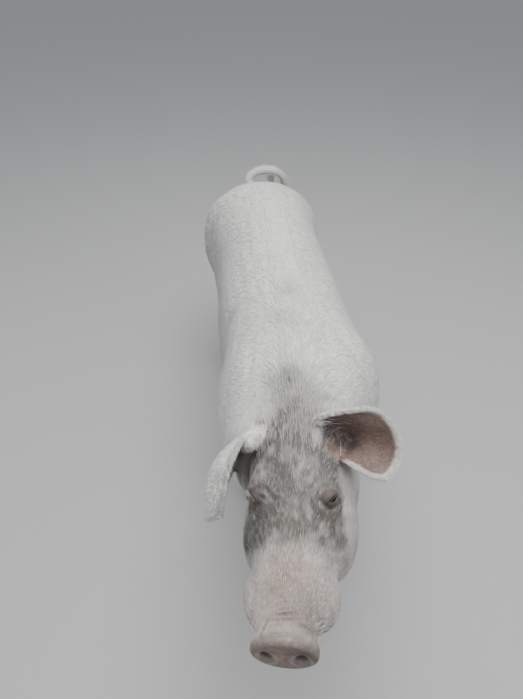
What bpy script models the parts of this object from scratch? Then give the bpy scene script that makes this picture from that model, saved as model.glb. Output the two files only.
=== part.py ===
"""A standing domestic pig, an adult white sow, as a life-size still model in metres.

The pig faces -Y with +X on its own left, and it stands on the floor at z = 0. The flesh is built from
cross sections along the trunk, the head and each leg, fused into one skin and then parted with thin cuts
into the pieces that a person would name. Eyes, claws and dewclaws are pieces of their own.
"""

import math

import bmesh
import bpy
from mathutils import Euler, Matrix, Vector
from mathutils.bvhtree import BVHTree

# Driving dimensions
BACK_HEIGHT = 0.80
BELLY_HEIGHT = 0.305
SHOULDER_HALF = 0.200
WAIST_HALF = 0.181
HAM_HALF = 0.186
HEAD_LENGTH = 0.375
DISC_HALF_WIDTH = 0.055
DISC_HALF_HEIGHT = 0.039
DISC_DEPTH = 0.026
DISC_RIM = 0.0075
NOSTRIL_PLACE = 0.0280
NOSTRIL_HALF_WIDTH = 0.0095
NOSTRIL_HALF_HEIGHT = 0.0125
EYE_RADIUS = 0.0135
EYE_SINK = 0.0115
LID_THICKNESS = 0.0032
LID_SLIT_LENGTH = 0.0260
LID_SLIT_HEIGHT = 0.0150
MOUTH_GROOVE = 0.0028
EAR_THICKNESS = 0.0055
EAR_COLUMNS = 11
TAIL_RADIUS = 0.0165
TEAT_ROWS = 6
TEAT_LENGTH = 0.021
TEAT_SPACING = 0.061
FIRST_TEAT = 0.145
TEAT_LINE = 0.055
CLAW_LENGTH = 0.064
CLAW_WIDTH = 0.034
GAP = 0.0003

# How the head is carried: the poll's place, then its turn to the pig's right, its droop and its tilt
POLL = Vector((-0.061, -0.427, 0.804))
HEAD_TURN = math.radians(-14.0)
HEAD_DROOP = math.radians(6.0)
HEAD_TILT = math.radians(-10.0)

# Fineness of the fused skins
VOXEL = 0.0055
SKIN_TRIANGLES = 6400

# The level below which the legs' skin ends and the claws carry on
CORONET = 0.040

# Colours, roughness
SKIN = ((0.80, 0.69, 0.64), 0.62)
PINK = ((0.72, 0.50, 0.45), 0.50)
HORN = ((0.33, 0.28, 0.23), 0.55)
EYE = ((0.05, 0.03, 0.02), 0.12)


def clear_scene():
    for obj in list(bpy.data.objects):
        bpy.data.objects.remove(obj, do_unlink=True)


def material(name, finish):
    colour, roughness = finish
    made = bpy.data.materials.new(name)
    made.use_nodes = True
    shader = made.node_tree.nodes["Principled BSDF"]
    shader.inputs["Base Color"].default_value = (*colour, 1.0)
    shader.inputs["Roughness"].default_value = roughness
    shader.inputs["Metallic"].default_value = 0.0
    return made


def object_from(name, bm):
    """A scene object from a bmesh, with its faces turned outwards."""
    bmesh.ops.recalc_face_normals(bm, faces=bm.faces)
    mesh = bpy.data.meshes.new(name)
    bm.to_mesh(mesh)
    bm.free()
    obj = bpy.data.objects.new(name, mesh)
    bpy.context.scene.collection.objects.link(obj)
    return obj


def applied(obj):
    """Applies every modifier of the object."""
    bpy.context.view_layer.update()
    graph = bpy.context.evaluated_depsgraph_get()
    mesh = bpy.data.meshes.new_from_object(obj.evaluated_get(graph), depsgraph=graph)
    obj.modifiers.clear()
    obj.data = mesh
    return obj


def triangle_count(obj):
    obj.data.calc_loop_triangles()
    return len(obj.data.loop_triangles)


def copy_of(obj, name):
    twin = obj.copy()
    twin.data = obj.data.copy()
    twin.name = name
    bpy.context.scene.collection.objects.link(twin)
    return twin


def removed(*objects):
    for obj in objects:
        bpy.data.objects.remove(obj, do_unlink=True)


def largest_surface(obj):
    """Keeps only the largest closed surface of a mesh."""
    bm = bmesh.new()
    bm.from_mesh(obj.data)
    left = set(bm.verts)
    islands = []
    while left:
        island = set()
        front = [left.pop()]
        while front:
            vert = front.pop()
            island.add(vert)
            for edge in vert.link_edges:
                other = edge.other_vert(vert)
                if other in left:
                    left.discard(other)
                    front.append(other)
        islands.append(island)
    islands.sort(key=len)
    loose = [vert for island in islands[:-1] for vert in island]
    bmesh.ops.delete(bm, geom=loose, context="VERTS")
    bm.to_mesh(obj.data)
    bm.free()
    return obj


def boolean(obj, others, operation, solver="EXACT"):
    """Joins pieces to the object, or cuts them from it, in one Boolean, and removes the pieces."""
    pieces = bpy.data.collections.new("pieces")
    for other in others:
        pieces.objects.link(other)
    modifier = obj.modifiers.new("join", "BOOLEAN")
    modifier.operation = operation
    modifier.operand_type = "COLLECTION"
    modifier.collection = pieces
    modifier.solver = solver
    applied(obj)
    removed(*others)
    bpy.data.collections.remove(pieces)
    return largest_surface(obj)


def smooth_rows(rows, steps):
    """Rows of numbers with smooth in-between rows, on a cubic through the given ones."""
    padded = [rows[0], *rows, rows[-1]]
    filled = []
    for before, start, end, after in zip(padded, padded[1:], padded[2:], padded[3:]):
        for step in range(steps):
            t = step / steps
            filled.append([
                0.5 * (2 * b + (c - a) * t + (2 * a - 5 * b + 4 * c - d) * t**2
                       + (3 * b - a - 3 * c + d) * t**3)
                for a, b, c, d in zip(before, start, end, after)
            ])
    filled.append(list(rows[-1]))
    return filled


def add_ring(bm, segments, centre, side, rise, drop, square):
    """One closed cross section: side, rise and drop are vectors from the centre to its edges."""
    made = bmesh.ops.create_circle(bm, cap_ends=False, segments=segments, radius=1.0)
    for vert in made["verts"]:
        across, up = vert.co.x, vert.co.y
        across = math.copysign(abs(across) ** (2 / square), across)
        up = math.copysign(abs(up) ** (2 / square), up)
        vert.co = centre + side * across + (rise if up > 0 else drop) * abs(up)
    return list({edge for vert in made["verts"] for edge in vert.link_edges})


def loft(name, rings, segments=32):
    """A closed skin over rings of (centre, side, rise, drop, square)."""
    bm = bmesh.new()
    loops = [add_ring(bm, segments, *ring) for ring in rings]
    for first, second in zip(loops, loops[1:]):
        bmesh.ops.bridge_loops(bm, edges=first + second)
    bmesh.ops.holes_fill(bm, edges=bm.edges, sides=segments)
    return object_from(name, bm)


def ellipsoid(name, centre, radii, turn=(0.0, 0.0, 0.0), segments=24):
    bm = bmesh.new()
    matrix = Matrix.LocRotScale(Vector(centre), Euler(turn), Vector(radii))
    rings = 2 * segments // 3
    bmesh.ops.create_uvsphere(bm, u_segments=segments, v_segments=rings, radius=1.0, matrix=matrix)
    return object_from(name, bm)


def fuse(name, pieces, voxel, rounds, triangles):
    """Melts overlapping pieces into one skin, evens it and brings it to a number of triangles."""
    bm = bmesh.new()
    for piece in pieces:
        piece.data.transform(piece.matrix_world)
        bm.from_mesh(piece.data)
    removed(*pieces)
    fused = object_from(name, bm)
    remesh = fused.modifiers.new("melt", "REMESH")
    remesh.mode = "VOXEL"
    remesh.voxel_size = voxel
    even = fused.modifiers.new("even", "SMOOTH")
    even.factor = 0.5
    even.iterations = rounds
    applied(fused)
    fewer = fused.modifiers.new("fewer", "DECIMATE")
    fewer.ratio = min(1.0, triangles / triangle_count(fused))
    return largest_surface(applied(fused))


# Trunk: y, sideways shift, half width, top, bottom of each cross section, from the throat to the seat
TRUNK = (
    (-0.44, -0.074, 0.105, BACK_HEIGHT - 0.015, 0.545),
    (-0.36, -0.056, 0.142, BACK_HEIGHT - 0.004, 0.475),
    (-0.27, -0.030, 0.180, BACK_HEIGHT, 0.415),
    (-0.17, -0.010, SHOULDER_HALF, BACK_HEIGHT, 0.365),
    (-0.07, -0.006, SHOULDER_HALF - 0.006, BACK_HEIGHT - 0.004, 0.330),
    (0.06, -0.007, SHOULDER_HALF - 0.012, BACK_HEIGHT - 0.004, BELLY_HEIGHT + 0.012),
    (0.20, -0.009, WAIST_HALF + 0.007, BACK_HEIGHT + 0.002, BELLY_HEIGHT),
    (0.36, -0.009, WAIST_HALF, BACK_HEIGHT + 0.008, BELLY_HEIGHT - 0.003),
    (0.50, -0.014, WAIST_HALF, BACK_HEIGHT + 0.010, BELLY_HEIGHT + 0.025),
    (0.62, -0.017, HAM_HALF, BACK_HEIGHT + 0.006, BELLY_HEIGHT + 0.075),
    (0.72, -0.017, HAM_HALF - 0.006, BACK_HEIGHT - 0.010, BELLY_HEIGHT + 0.12),
    (0.795, -0.014, HAM_HALF - 0.046, BACK_HEIGHT - 0.062, BELLY_HEIGHT + 0.17),
    (0.832, -0.010, 0.088, BACK_HEIGHT - 0.120, BELLY_HEIGHT + 0.225),
    (0.846, -0.010, 0.040, BACK_HEIGHT - 0.170, BELLY_HEIGHT + 0.275),
)
TRUNK_SQUARE = 2.25


def trunk():
    rings = []
    for y, shift, half, top, bottom in smooth_rows(TRUNK, 4):
        middle = 0.5 * (top + bottom)
        rings.append((
            Vector((shift, y, middle)),
            Vector((half, 0, 0)),
            Vector((0, 0, top - middle)),
            Vector((0, 0, bottom - middle)),
            TRUNK_SQUARE,
        ))
    return loft("trunk", rings)


# Legs: z, x, y, half width, half length of each level cross section, from the body to the coronet
FORELEG = (
    (0.60, 0.092, -0.070, 0.062, 0.090),
    (0.52, 0.108, -0.050, 0.070, 0.108),
    (0.44, 0.118, -0.020, 0.068, 0.104),
    (0.37, 0.119, 0.002, 0.059, 0.080),
    (0.30, 0.115, -0.008, 0.048, 0.058),
    (0.235, 0.111, -0.018, 0.0395, 0.0435),
    (0.195, 0.110, -0.024, 0.0405, 0.0430),
    (0.155, 0.110, -0.018, 0.0340, 0.0365),
    (0.115, 0.110, -0.012, 0.0310, 0.0330),
    (0.080, 0.110, -0.014, 0.0345, 0.0380),
    (0.055, 0.110, -0.028, 0.0375, 0.0400),
    (0.030, 0.110, -0.040, 0.0390, 0.0420),
)
HINDLEG = (
    (0.66, 0.084, 0.665, 0.062, 0.110),
    (0.57, 0.104, 0.672, 0.080, 0.145),
    (0.47, 0.120, 0.655, 0.074, 0.150),
    (0.39, 0.122, 0.650, 0.062, 0.118),
    (0.33, 0.124, 0.668, 0.049, 0.080),
    (0.275, 0.120, 0.698, 0.0390, 0.0580),
    (0.235, 0.118, 0.714, 0.0370, 0.0500),
    (0.190, 0.117, 0.708, 0.0335, 0.0410),
    (0.130, 0.117, 0.690, 0.0310, 0.0345),
    (0.085, 0.117, 0.676, 0.0345, 0.0385),
    (0.055, 0.117, 0.660, 0.0375, 0.0405),
    (0.030, 0.117, 0.648, 0.0390, 0.0420),
)
# How far each foot is set forward or back of the plain stance
STEPS = {
    "foreleg_left": -0.045,
    "foreleg_right": 0.030,
    "hindleg_left": 0.030,
    "hindleg_right": -0.045,
}


def leg_place(leg, x, y, z):
    """A point of the plain left leg, put on its own side and carried along by the leg's step."""
    rows = FORELEG if leg.startswith("fore") else HINDLEG
    side = 1 if leg.endswith("left") else -1
    swing = max(0.0, 1 - z / rows[1][0])
    return Vector((side * x, y + STEPS[leg] * swing, z))


LEG_SQUARE = 2.1


def leg_skin(leg):
    rows = FORELEG if leg.startswith("fore") else HINDLEG
    rings = []
    for z, x, y, half_x, half_y in smooth_rows(rows, 3):
        length = Vector((0, half_y, 0))
        rings.append((leg_place(leg, x, y, z), Vector((half_x, 0, 0)), length, -length, LEG_SQUARE))
    return loft(leg + "_skin", rings)


# Muscles: name, distance from the midline, the midline's own shift, y, z and the three radii
MUSCLES = (
    ("blade", 0.112, -0.006, -0.155, 0.590, (0.084, 0.140, 0.165)),
    ("ham", 0.112, -0.017, 0.690, 0.580, (0.092, 0.140, 0.170)),
    ("stifle", 0.118, -0.010, 0.560, 0.440, (0.054, 0.082, 0.100)),
)


def muscles():
    """The shoulder blades, hams and stifle folds that stand out from the trunk's plain sections."""
    made = []
    for name, out, shift, y, z, radii in MUSCLES:
        for side in (1, -1):
            made.append(ellipsoid(name, (side * out + shift, y, z), radii))
    return made


# Skull and lower jaw: distance in front of the poll, half width, top, bottom of each cross section
SKULL = (
    (-0.075, 0.100, -0.010, -0.235),
    (0.00, 0.108, 0.000, -0.255),
    (0.07, 0.108, 0.002, -0.258),
    (0.13, 0.096, -0.008, -0.238),
    (0.19, 0.084, -0.030, -0.205),
    (0.25, 0.073, -0.043, -0.176),
    (0.30, 0.067, -0.048, -0.152),
    (0.34, 0.057, -0.049, -0.136),
    (0.375, 0.047, -0.049, -0.125),
)
JAW = (
    (0.04, 0.070, -0.150, -0.264),
    (0.12, 0.068, -0.140, -0.252),
    (0.20, 0.053, -0.120, -0.222),
    (0.27, 0.042, -0.115, -0.190),
    (0.32, 0.036, -0.115, -0.171),
    (0.350, 0.024, -0.122, -0.158),
)
HEAD_SQUARE = 2.3
# Flesh that rounds the head: name, the left one's centre and the three radii
HEAD_PADS = (
    ("cheek", (0.064, -0.152, -0.135), (0.046, 0.096, 0.070)),
    ("jowl", (0.050, -0.050, -0.195), (0.054, 0.088, 0.075)),
    ("brow", (0.056, -0.112, -0.036), (0.030, 0.052, 0.028)),
    ("lip", (0.047, -0.290, -0.110), (0.039, 0.056, 0.034)),
)
HEAD_PLACE = (
    Matrix.Translation(POLL)
    @ Matrix.Rotation(HEAD_TURN, 4, "Z")
    @ Matrix.Rotation(HEAD_DROOP, 4, "X")
    @ Matrix.Rotation(HEAD_TILT, 4, "Y")
)
DISC_LEAN = math.radians(10.0)
DISC_PLACE = (
    HEAD_PLACE
    @ Matrix.Translation((0.002, -HEAD_LENGTH - 0.003, -0.087))
    @ Matrix.Rotation(math.radians(90.0) - DISC_LEAN, 4, "X")
)
# The mouth line, as distance in front of the poll and height: its front, its corners and the jaw's middle
MOUTH_FRONT = (0.340, -0.130)
MOUTH_CORNER = (0.165, -0.152)
JAW_MIDDLE = 0.235
MOUTH_SWEEP = math.radians(140.0)
MOUTH_STEPS = 28


def head_loft(name, rows):
    rings = []
    for ahead, half, top, bottom in smooth_rows(rows, 3):
        middle = 0.5 * (top + bottom)
        rise = Vector((0, 0, top - middle))
        rings.append((Vector((0, -ahead, middle)), Vector((half, 0, 0)), rise, -rise, HEAD_SQUARE))
    return loft(name, rings)


def head_pieces():
    """The skull with muzzle, the jaw, cheeks, jowls, brows and lips, before they are melted together."""
    pieces = [head_loft("skull", SKULL), head_loft("jaw", JAW)]
    for name, (x, y, z), radii in HEAD_PADS:
        for side in (1, -1):
            pieces.append(ellipsoid(name, (side * x, y, z), radii))
    for piece in pieces:
        piece.data.transform(HEAD_PLACE)
    return pieces


def disc_blank():
    """The round flat end of the snout with its thick rim, in the head's own frame."""
    bm = bmesh.new()
    shape = Matrix.Diagonal((DISC_HALF_WIDTH, DISC_HALF_HEIGHT, DISC_DEPTH, 1.0))
    bmesh.ops.create_cone(
        bm, cap_ends=True, segments=32, radius1=1.0, radius2=1.0, depth=1.0, matrix=shape
    )
    rims = [edge for edge in bm.edges if len(edge.link_faces[0].verts) != len(edge.link_faces[1].verts)]
    bmesh.ops.bevel(
        bm, geom=rims, offset=DISC_RIM, offset_type="OFFSET", affect="EDGES", segments=3, profile=0.5
    )
    disc = object_from("disc", bm)
    disc.data.transform(DISC_PLACE)
    return disc


# Nostrils: height over the disc's face and share of the full width, from outside to the bottom
NOSTRIL_ROWS = ((0.010, 1.25), (0.0, 1.0), (-0.008, 0.82), (-0.019, 0.55))
NOSTRIL_LEAN = math.radians(24.0)


def nostril_cutter(side):
    """A slanting oval hole that narrows as it goes in."""
    lean = Matrix.Rotation(-side * NOSTRIL_LEAN, 3, "Z")
    across = lean @ Vector((NOSTRIL_HALF_WIDTH, 0, 0))
    up = lean @ Vector((0, NOSTRIL_HALF_HEIGHT, 0))
    rings = []
    for height, wide in NOSTRIL_ROWS:
        centre = Vector((side * (NOSTRIL_PLACE - 0.10 * height), -0.15 * height, 0.5 * DISC_DEPTH + height))
        rings.append((centre, across * wide, up * wide, -up * wide, 2.0))
    cutter = loft("nostril", rings, 16)
    cutter.data.transform(DISC_PLACE)
    return cutter


def snout_disc():
    disc = boolean(disc_blank(), [nostril_cutter(1), nostril_cutter(-1)], "DIFFERENCE")
    disc.name = "snout_disc"
    return disc


def muzzle_end_cutter():
    """Everything in front of the disc's back face, less a thin gap."""
    bm = bmesh.new()
    back = -0.5 * DISC_DEPTH - GAP
    matrix = Matrix.Translation((0, 0, back + 0.05)) @ Matrix.Diagonal((0.30, 0.30, 0.10, 1.0))
    bmesh.ops.create_cube(bm, size=1.0, matrix=DISC_PLACE @ matrix)
    return object_from("muzzle_end", bm)


def tube(name, points, radii, segments=12):
    """A round closed tube through points, with a radius at each."""
    bm = bmesh.new()
    loops = []
    side = None
    for index, point in enumerate(points):
        ahead = points[min(index + 1, len(points) - 1)] - points[max(index - 1, 0)]
        ahead.normalize()
        if side is None:
            side = ahead.orthogonal()
        side = (side - ahead * side.dot(ahead)).normalized()
        made = bmesh.ops.create_circle(bm, cap_ends=False, segments=segments, radius=radii[index])
        turn = Matrix((side, ahead.cross(side), ahead)).transposed().to_4x4()
        bmesh.ops.transform(bm, matrix=Matrix.Translation(point) @ turn, verts=made["verts"])
        loops.append(list({edge for vert in made["verts"] for edge in vert.link_edges}))
    for first, second in zip(loops, loops[1:]):
        bmesh.ops.bridge_loops(bm, edges=first + second)
    bmesh.ops.holes_fill(bm, edges=bm.edges, sides=segments)
    return object_from(name, bm)


def surface_of(obj):
    return BVHTree.FromObject(obj, bpy.context.evaluated_depsgraph_get())


def mouth_cutter(surface):
    """A groove along the line where a sloping plane through the mouth meets the lips and cheeks."""
    slope = (MOUTH_FRONT[1] - MOUTH_CORNER[1]) / (MOUTH_FRONT[0] - MOUTH_CORNER[0])
    height = MOUTH_CORNER[1] + slope * (JAW_MIDDLE - MOUTH_CORNER[0])
    start = HEAD_PLACE @ Vector((0, -JAW_MIDDLE, height))
    points = []
    for step in range(MOUTH_STEPS + 1):
        angle = MOUTH_SWEEP * (2.0 * step / MOUTH_STEPS - 1.0)
        out = HEAD_PLACE.to_3x3() @ Vector((math.sin(angle), -math.cos(angle), slope * math.cos(angle)))
        points.append(surface.ray_cast(start, out.normalized())[0])
    return tube("mouth", points, [MOUTH_GROOVE] * len(points), 8)


# Ear hollows in the head's own frame: the way the left one opens, where each side's lies, and their radii
HOLLOW_OUT = (0.15, -0.55, 0.80)
HOLLOW_PLACES = {1: (0.064, -0.034, -0.012), -1: (-0.080, -0.022, -0.030)}
HOLLOW_RADII = (0.020, 0.018, 0.022)


def ear_hollow(surface, side):
    """The dark hollow at the bottom of an ear's cup."""
    x, y, z = HOLLOW_OUT
    out = (HEAD_PLACE.to_3x3() @ Vector((side * x, y, z))).normalized()
    hit = surface.ray_cast(HEAD_PLACE @ Vector(HOLLOW_PLACES[side]) + out * 0.15, -out)
    bm = bmesh.new()
    turn = out.to_track_quat("Z", "Y").to_matrix().to_4x4()
    matrix = Matrix.Translation(hit[0]) @ turn @ Matrix.Diagonal((*HOLLOW_RADII, 1.0))
    bmesh.ops.create_uvsphere(bm, u_segments=14, v_segments=10, radius=1.0, matrix=matrix)
    return object_from("ear_hollow", bm)


# Eyes: the way the left one looks, and a point inside the head behind it, in the head's own frame
EYE_LOOK = (0.70, -0.44, 0.56)
EYE_INSIDE = (0.041, -0.130, -0.048)


def eye_seat(surface, side):
    """The eye's centre and the way it looks, from where its ray leaves the side of the head."""
    look = (HEAD_PLACE.to_3x3() @ Vector((side * EYE_LOOK[0], *EYE_LOOK[1:]))).normalized()
    hit = surface.ray_cast(HEAD_PLACE @ Vector((side * EYE_INSIDE[0], *EYE_INSIDE[1:])), look)
    return hit[0] - look * EYE_SINK, look


def eye_ball(side, centre, look):
    bm = bmesh.new()
    turn = look.to_track_quat("Z", "Y").to_matrix().to_4x4()
    matrix = Matrix.Translation(centre) @ turn @ Matrix.Diagonal((EYE_RADIUS, EYE_RADIUS, EYE_RADIUS, 1.0))
    bmesh.ops.create_uvsphere(bm, u_segments=14, v_segments=8, radius=1.0, matrix=matrix)
    return object_from("eye_left" if side > 0 else "eye_right", bm)


def lid_shell(centre):
    return ellipsoid("lids", centre, (EYE_RADIUS + LID_THICKNESS,) * 3, segments=18)


# The slit between the lids: distance from the eye's centre and share of its full size
SLIT_ROWS = ((0.006, 0.80), (0.030, 1.25))
ALMOND = 1.6


def lid_opening(centre, look):
    """An almond-shaped slit through both lids, its long way lying along the face."""
    forward = HEAD_PLACE.to_3x3() @ Vector((0, -1, -0.12))
    along = (forward - look * forward.dot(look)).normalized() * 0.5 * LID_SLIT_LENGTH
    across = look.cross(along).normalized() * 0.5 * LID_SLIT_HEIGHT
    rings = []
    for depth, wide in SLIT_ROWS:
        rings.append((centre + look * depth, along * wide, across * wide, across * -wide, ALMOND))
    return loft("lid_opening", rings, 20)


def socket(centre):
    return ellipsoid("socket", centre, (EYE_RADIUS + GAP,) * 3, segments=18)


# Ears, in the head's own frame: the front edge, the fold and the rear edge, from the root to the tip
EARS = {
    "ear_left": (
        ((0.070, -0.064, -0.034), (0.096, -0.004, -0.056), (0.034, -0.008, -0.020)),
        ((0.086, -0.076, -0.020), (0.108, -0.006, -0.046), (0.038, -0.008, 0.022)),
        ((0.108, -0.088, -0.022), (0.126, -0.016, -0.036), (0.096, -0.010, 0.046)),
        ((0.134, -0.100, -0.032), (0.160, -0.036, -0.030), (0.146, -0.006, 0.044)),
        ((0.162, -0.100, -0.044), (0.187, -0.060, -0.020), (0.178, -0.024, 0.018)),
    ),
    "ear_right": (
        ((-0.072, -0.040, -0.048), (-0.066, -0.004, -0.050), (-0.062, -0.006, -0.018)),
        ((-0.098, -0.046, -0.066), (-0.112, -0.006, -0.044), (-0.092, -0.034, 0.006)),
        ((-0.142, -0.040, -0.110), (-0.162, -0.054, -0.046), (-0.118, -0.092, -0.012)),
        ((-0.168, -0.082, -0.134), (-0.186, -0.098, -0.082), (-0.134, -0.126, -0.058)),
        ((-0.178, -0.126, -0.146), (-0.186, -0.140, -0.126), (-0.150, -0.148, -0.106)),
    ),
}
EAR_STEPS = 4


def ear_rows(name):
    """The ear's sheet as rows from root to tip, each a curve from the front edge through the fold to the rear."""
    rows = smooth_rows([[number for point in row for number in point] for row in EARS[name]], EAR_STEPS)
    sheet = []
    for row in rows:
        front, fold, rear = Vector(row[0:3]), Vector(row[3:6]), Vector(row[6:9])
        curve = []
        for step in range(EAR_COLUMNS):
            across = 2.0 * step / (EAR_COLUMNS - 1) - 1.0
            curve.append(front * (0.5 * across * (across - 1)) + fold * (1 - across**2)
                         + rear * (0.5 * across * (across + 1)))
        sheet.append(curve)
    return sheet


def ear(name, head_cutter):
    bm = bmesh.new()
    rows = [[bm.verts.new(point) for point in row] for row in ear_rows(name)]
    for low, high in zip(rows, rows[1:]):
        for left in range(EAR_COLUMNS - 1):
            bm.faces.new((low[left], low[left + 1], high[left + 1], high[left]))
    bmesh.ops.triangulate(bm, faces=bm.faces)
    made = object_from(name, bm)
    made.data.transform(HEAD_PLACE)
    thick = made.modifiers.new("thick", "SOLIDIFY")
    thick.thickness = EAR_THICKNESS
    thick.offset = 0.0
    applied(made)
    return boolean(made, [copy_of(head_cutter, "cutter")], "DIFFERENCE")


def grown(obj, name, by):
    """A copy of a piece with its skin moved out by a thin gap."""
    twin = copy_of(obj, name)
    push = twin.modifiers.new("push", "DISPLACE")
    push.mid_level = 0.0
    push.strength = by
    return applied(twin)


# Tail: its midline from the root above the rump to the curled tip, and how its thickness falls off
TAIL = (
    (0.000, 0.770, 0.680),
    (-0.012, 0.824, 0.696),
    (-0.034, 0.852, 0.714),
    (-0.043, 0.862, 0.742),
    (-0.016, 0.862, 0.767),
    (0.030, 0.862, 0.774),
    (0.072, 0.864, 0.757),
    (0.092, 0.870, 0.722),
    (0.078, 0.882, 0.690),
    (0.050, 0.888, 0.694),
    (0.044, 0.880, 0.728),
)
TAIL_TAPER = 0.70
TAPER_POWER = 2.2


def tail(torso):
    points = [Vector(row) for row in smooth_rows(TAIL, 2)]
    count = len(points) - 1
    radii = [TAIL_RADIUS * (1.0 - TAIL_TAPER * (index / count) ** TAPER_POWER) for index in range(count + 1)]
    made = tube("tail", points, radii, 12)
    return boolean(made, [grown(torso, "cutter", GAP)], "DIFFERENCE")


# Where the skin is parted: the head's and neck's planes, then each leg's outline seen from the front
HEAD_CUT = (HEAD_PLACE @ Vector((0, 0.045, -0.10)), HEAD_PLACE.to_3x3() @ Vector((0, 1, 0.12)))
NECK_CUT = (Vector((-0.02, -0.215, 0.55)), Vector((0.12, 1.0, 0.20)))
FORE_OUTLINE = ((0.030, -0.10), (0.030, 0.300), (0.320, 0.470), (0.320, -0.10))
HIND_OUTLINE = ((0.015, -0.10), (0.015, 0.385), (0.320, 0.590), (0.320, -0.10))
FORE_SPAN = (-0.30, 0.115)
HIND_SPAN = (0.470, 0.95)


def half_space(name, place, normal, start):
    """A large block that begins a little way along a plane's normal."""
    bm = bmesh.new()
    turn = normal.to_track_quat("Z", "Y").to_matrix().to_4x4()
    matrix = Matrix.Translation(place) @ turn @ Matrix.Translation((0, 0, start + 1.5))
    bmesh.ops.create_cube(bm, size=3.0, matrix=matrix)
    return object_from(name, bm)


def leg_block(leg, grow):
    """The block that holds one leg, its top sloping outwards and up, grown by a gap."""
    outline = FORE_OUTLINE if leg.startswith("fore") else HIND_OUTLINE
    front, back = FORE_SPAN if leg.startswith("fore") else HIND_SPAN
    side = 1 if leg.endswith("left") else -1
    bm = bmesh.new()
    corners = []
    for x, z in outline:
        inward = -grow if x < 0.1 else grow
        rise = grow if z > 0 else 0.0
        corners.append(bm.verts.new((side * (x + inward), front - grow, z + rise)))
    face = bm.faces.new(corners)
    made = bmesh.ops.extrude_face_region(bm, geom=[face])
    far = [item for item in made["geom"] if isinstance(item, bmesh.types.BMVert)]
    bmesh.ops.translate(bm, vec=(0, back - front + 2 * grow, 0), verts=far)
    return object_from("block", bm)


def floor_block(top):
    bm = bmesh.new()
    bmesh.ops.create_cube(bm, size=1.0, matrix=Matrix.Translation((0, 0, top - 2.0)) @ Matrix.Scale(4.0, 4))
    return object_from("floor_block", bm)


LEGS = ("foreleg_left", "foreleg_right", "hindleg_left", "hindleg_right")


def taken(whole, block, name):
    """The part of the skin inside a block, as a piece of its own."""
    piece = copy_of(whole, name)
    return boolean(piece, [block], "INTERSECT")


# Claws: height, size and how far each level outline sits back, from the sole to just under the coronet
CLAW_ROWS = ((0.0, 0.92, 0.002), (0.005, 1.0, 0.0), (0.022, 0.97, 0.004), (CORONET - GAP, 0.88, 0.009))
CLAW_SPREAD = 0.0012
TOE_NARROWING = 0.28
FLAT_INNER_SIDE = 0.82


def claw(name, leg, inner):
    """One half of a cloven foot: flat below, rounded behind, narrowing to the toe."""
    rows = FORELEG if leg.startswith("fore") else HINDLEG
    side = 1 if leg.endswith("left") else -1
    toward = -1 if inner else 1
    foot = leg_place(leg, rows[-1][1], rows[-1][2] - 0.006, rows[-1][0])
    bm = bmesh.new()
    loops = []
    for height, scale, back in CLAW_ROWS:
        made = bmesh.ops.create_circle(bm, cap_ends=False, segments=16, radius=1.0)
        for vert in made["verts"]:
            x = vert.co.x * (1.0 + TOE_NARROWING * min(0.0, vert.co.y))
            x = x * (FLAT_INNER_SIDE if x < 0 else 1.0)
            x = 0.5 * CLAW_WIDTH * (scale * x + 1.0) - CLAW_SPREAD
            y = 0.5 * CLAW_LENGTH * scale * vert.co.y + back
            vert.co = Vector((foot.x + side * toward * x, foot.y + y, height))
        loops.append(list({edge for vert in made["verts"] for edge in vert.link_edges}))
    for first, second in zip(loops, loops[1:]):
        bmesh.ops.bridge_loops(bm, edges=first + second)
    bmesh.ops.holes_fill(bm, edges=bm.edges, sides=16)
    return object_from(name, bm)


DEWCLAW_RADII = (0.0100, 0.0125, 0.0185)
DEWCLAW_OUT = 0.0195
DEWCLAW_LEAN = math.radians(28.0)


def dewclaw(name, leg, inner, leg_cutter):
    """A small claw behind the fetlock that stays clear of the floor."""
    side = 1 if leg.endswith("left") else -1
    rows = FORELEG if leg.startswith("fore") else HINDLEG
    toward = -1 if inner else 1
    z, x, y, _, half_y = rows[-3]
    place = leg_place(leg, x + toward * DEWCLAW_OUT, y + half_y + 0.004, z - 0.006)
    made = ellipsoid(name, place, DEWCLAW_RADII, (DEWCLAW_LEAN, 0.0, 0.0), 10)
    return boolean(made, [copy_of(leg_cutter, "cutter")], "DIFFERENCE", "MANIFOLD")


# Teats: share of the length below the belly's skin and radius, from the root inside it to the tip
TEAT_ROUNDS = ((-0.30, 0.0095), (0.0, 0.0085), (0.86, 0.0055), (1.0, 0.0030))


def teat(surface, x, y):
    root = surface.ray_cast(Vector((x, y, 0.10)), Vector((0, 0, 1)))[0]
    hang = Vector((0.25 * x, 0, -TEAT_LENGTH))
    points = [root + hang * share for share, _ in TEAT_ROUNDS]
    return tube("teat", points, [radius for _, radius in TEAT_ROUNDS], 10)


def add_teats(torso):
    surface = surface_of(torso)
    made = []
    for row in range(TEAT_ROWS):
        for side in (1, -1):
            made.append(teat(surface, side * TEAT_LINE, FIRST_TEAT + TEAT_SPACING * row))
    return boolean(torso, made, "UNION")


def finish_head(head):
    """Cuts the eyes' seats, the mouth line and the flat muzzle end, and makes both eyes."""
    surface = surface_of(head)
    mouth = mouth_cutter(surface)
    eyes = []
    shells = []
    cutters = []
    for side in (1, -1):
        centre, look = eye_seat(surface, side)
        eyes.append(eye_ball(side, centre, look))
        shells.append(lid_shell(centre))
        cutters.append(ear_hollow(surface, side))
        cutters.append(lid_opening(centre, look))
        cutters.append(socket(centre))
    boolean(head, shells, "UNION")
    boolean(head, [muzzle_end_cutter()], "DIFFERENCE")
    boolean(head, [mouth], "DIFFERENCE")
    boolean(head, cutters, "DIFFERENCE")
    return eyes


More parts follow.
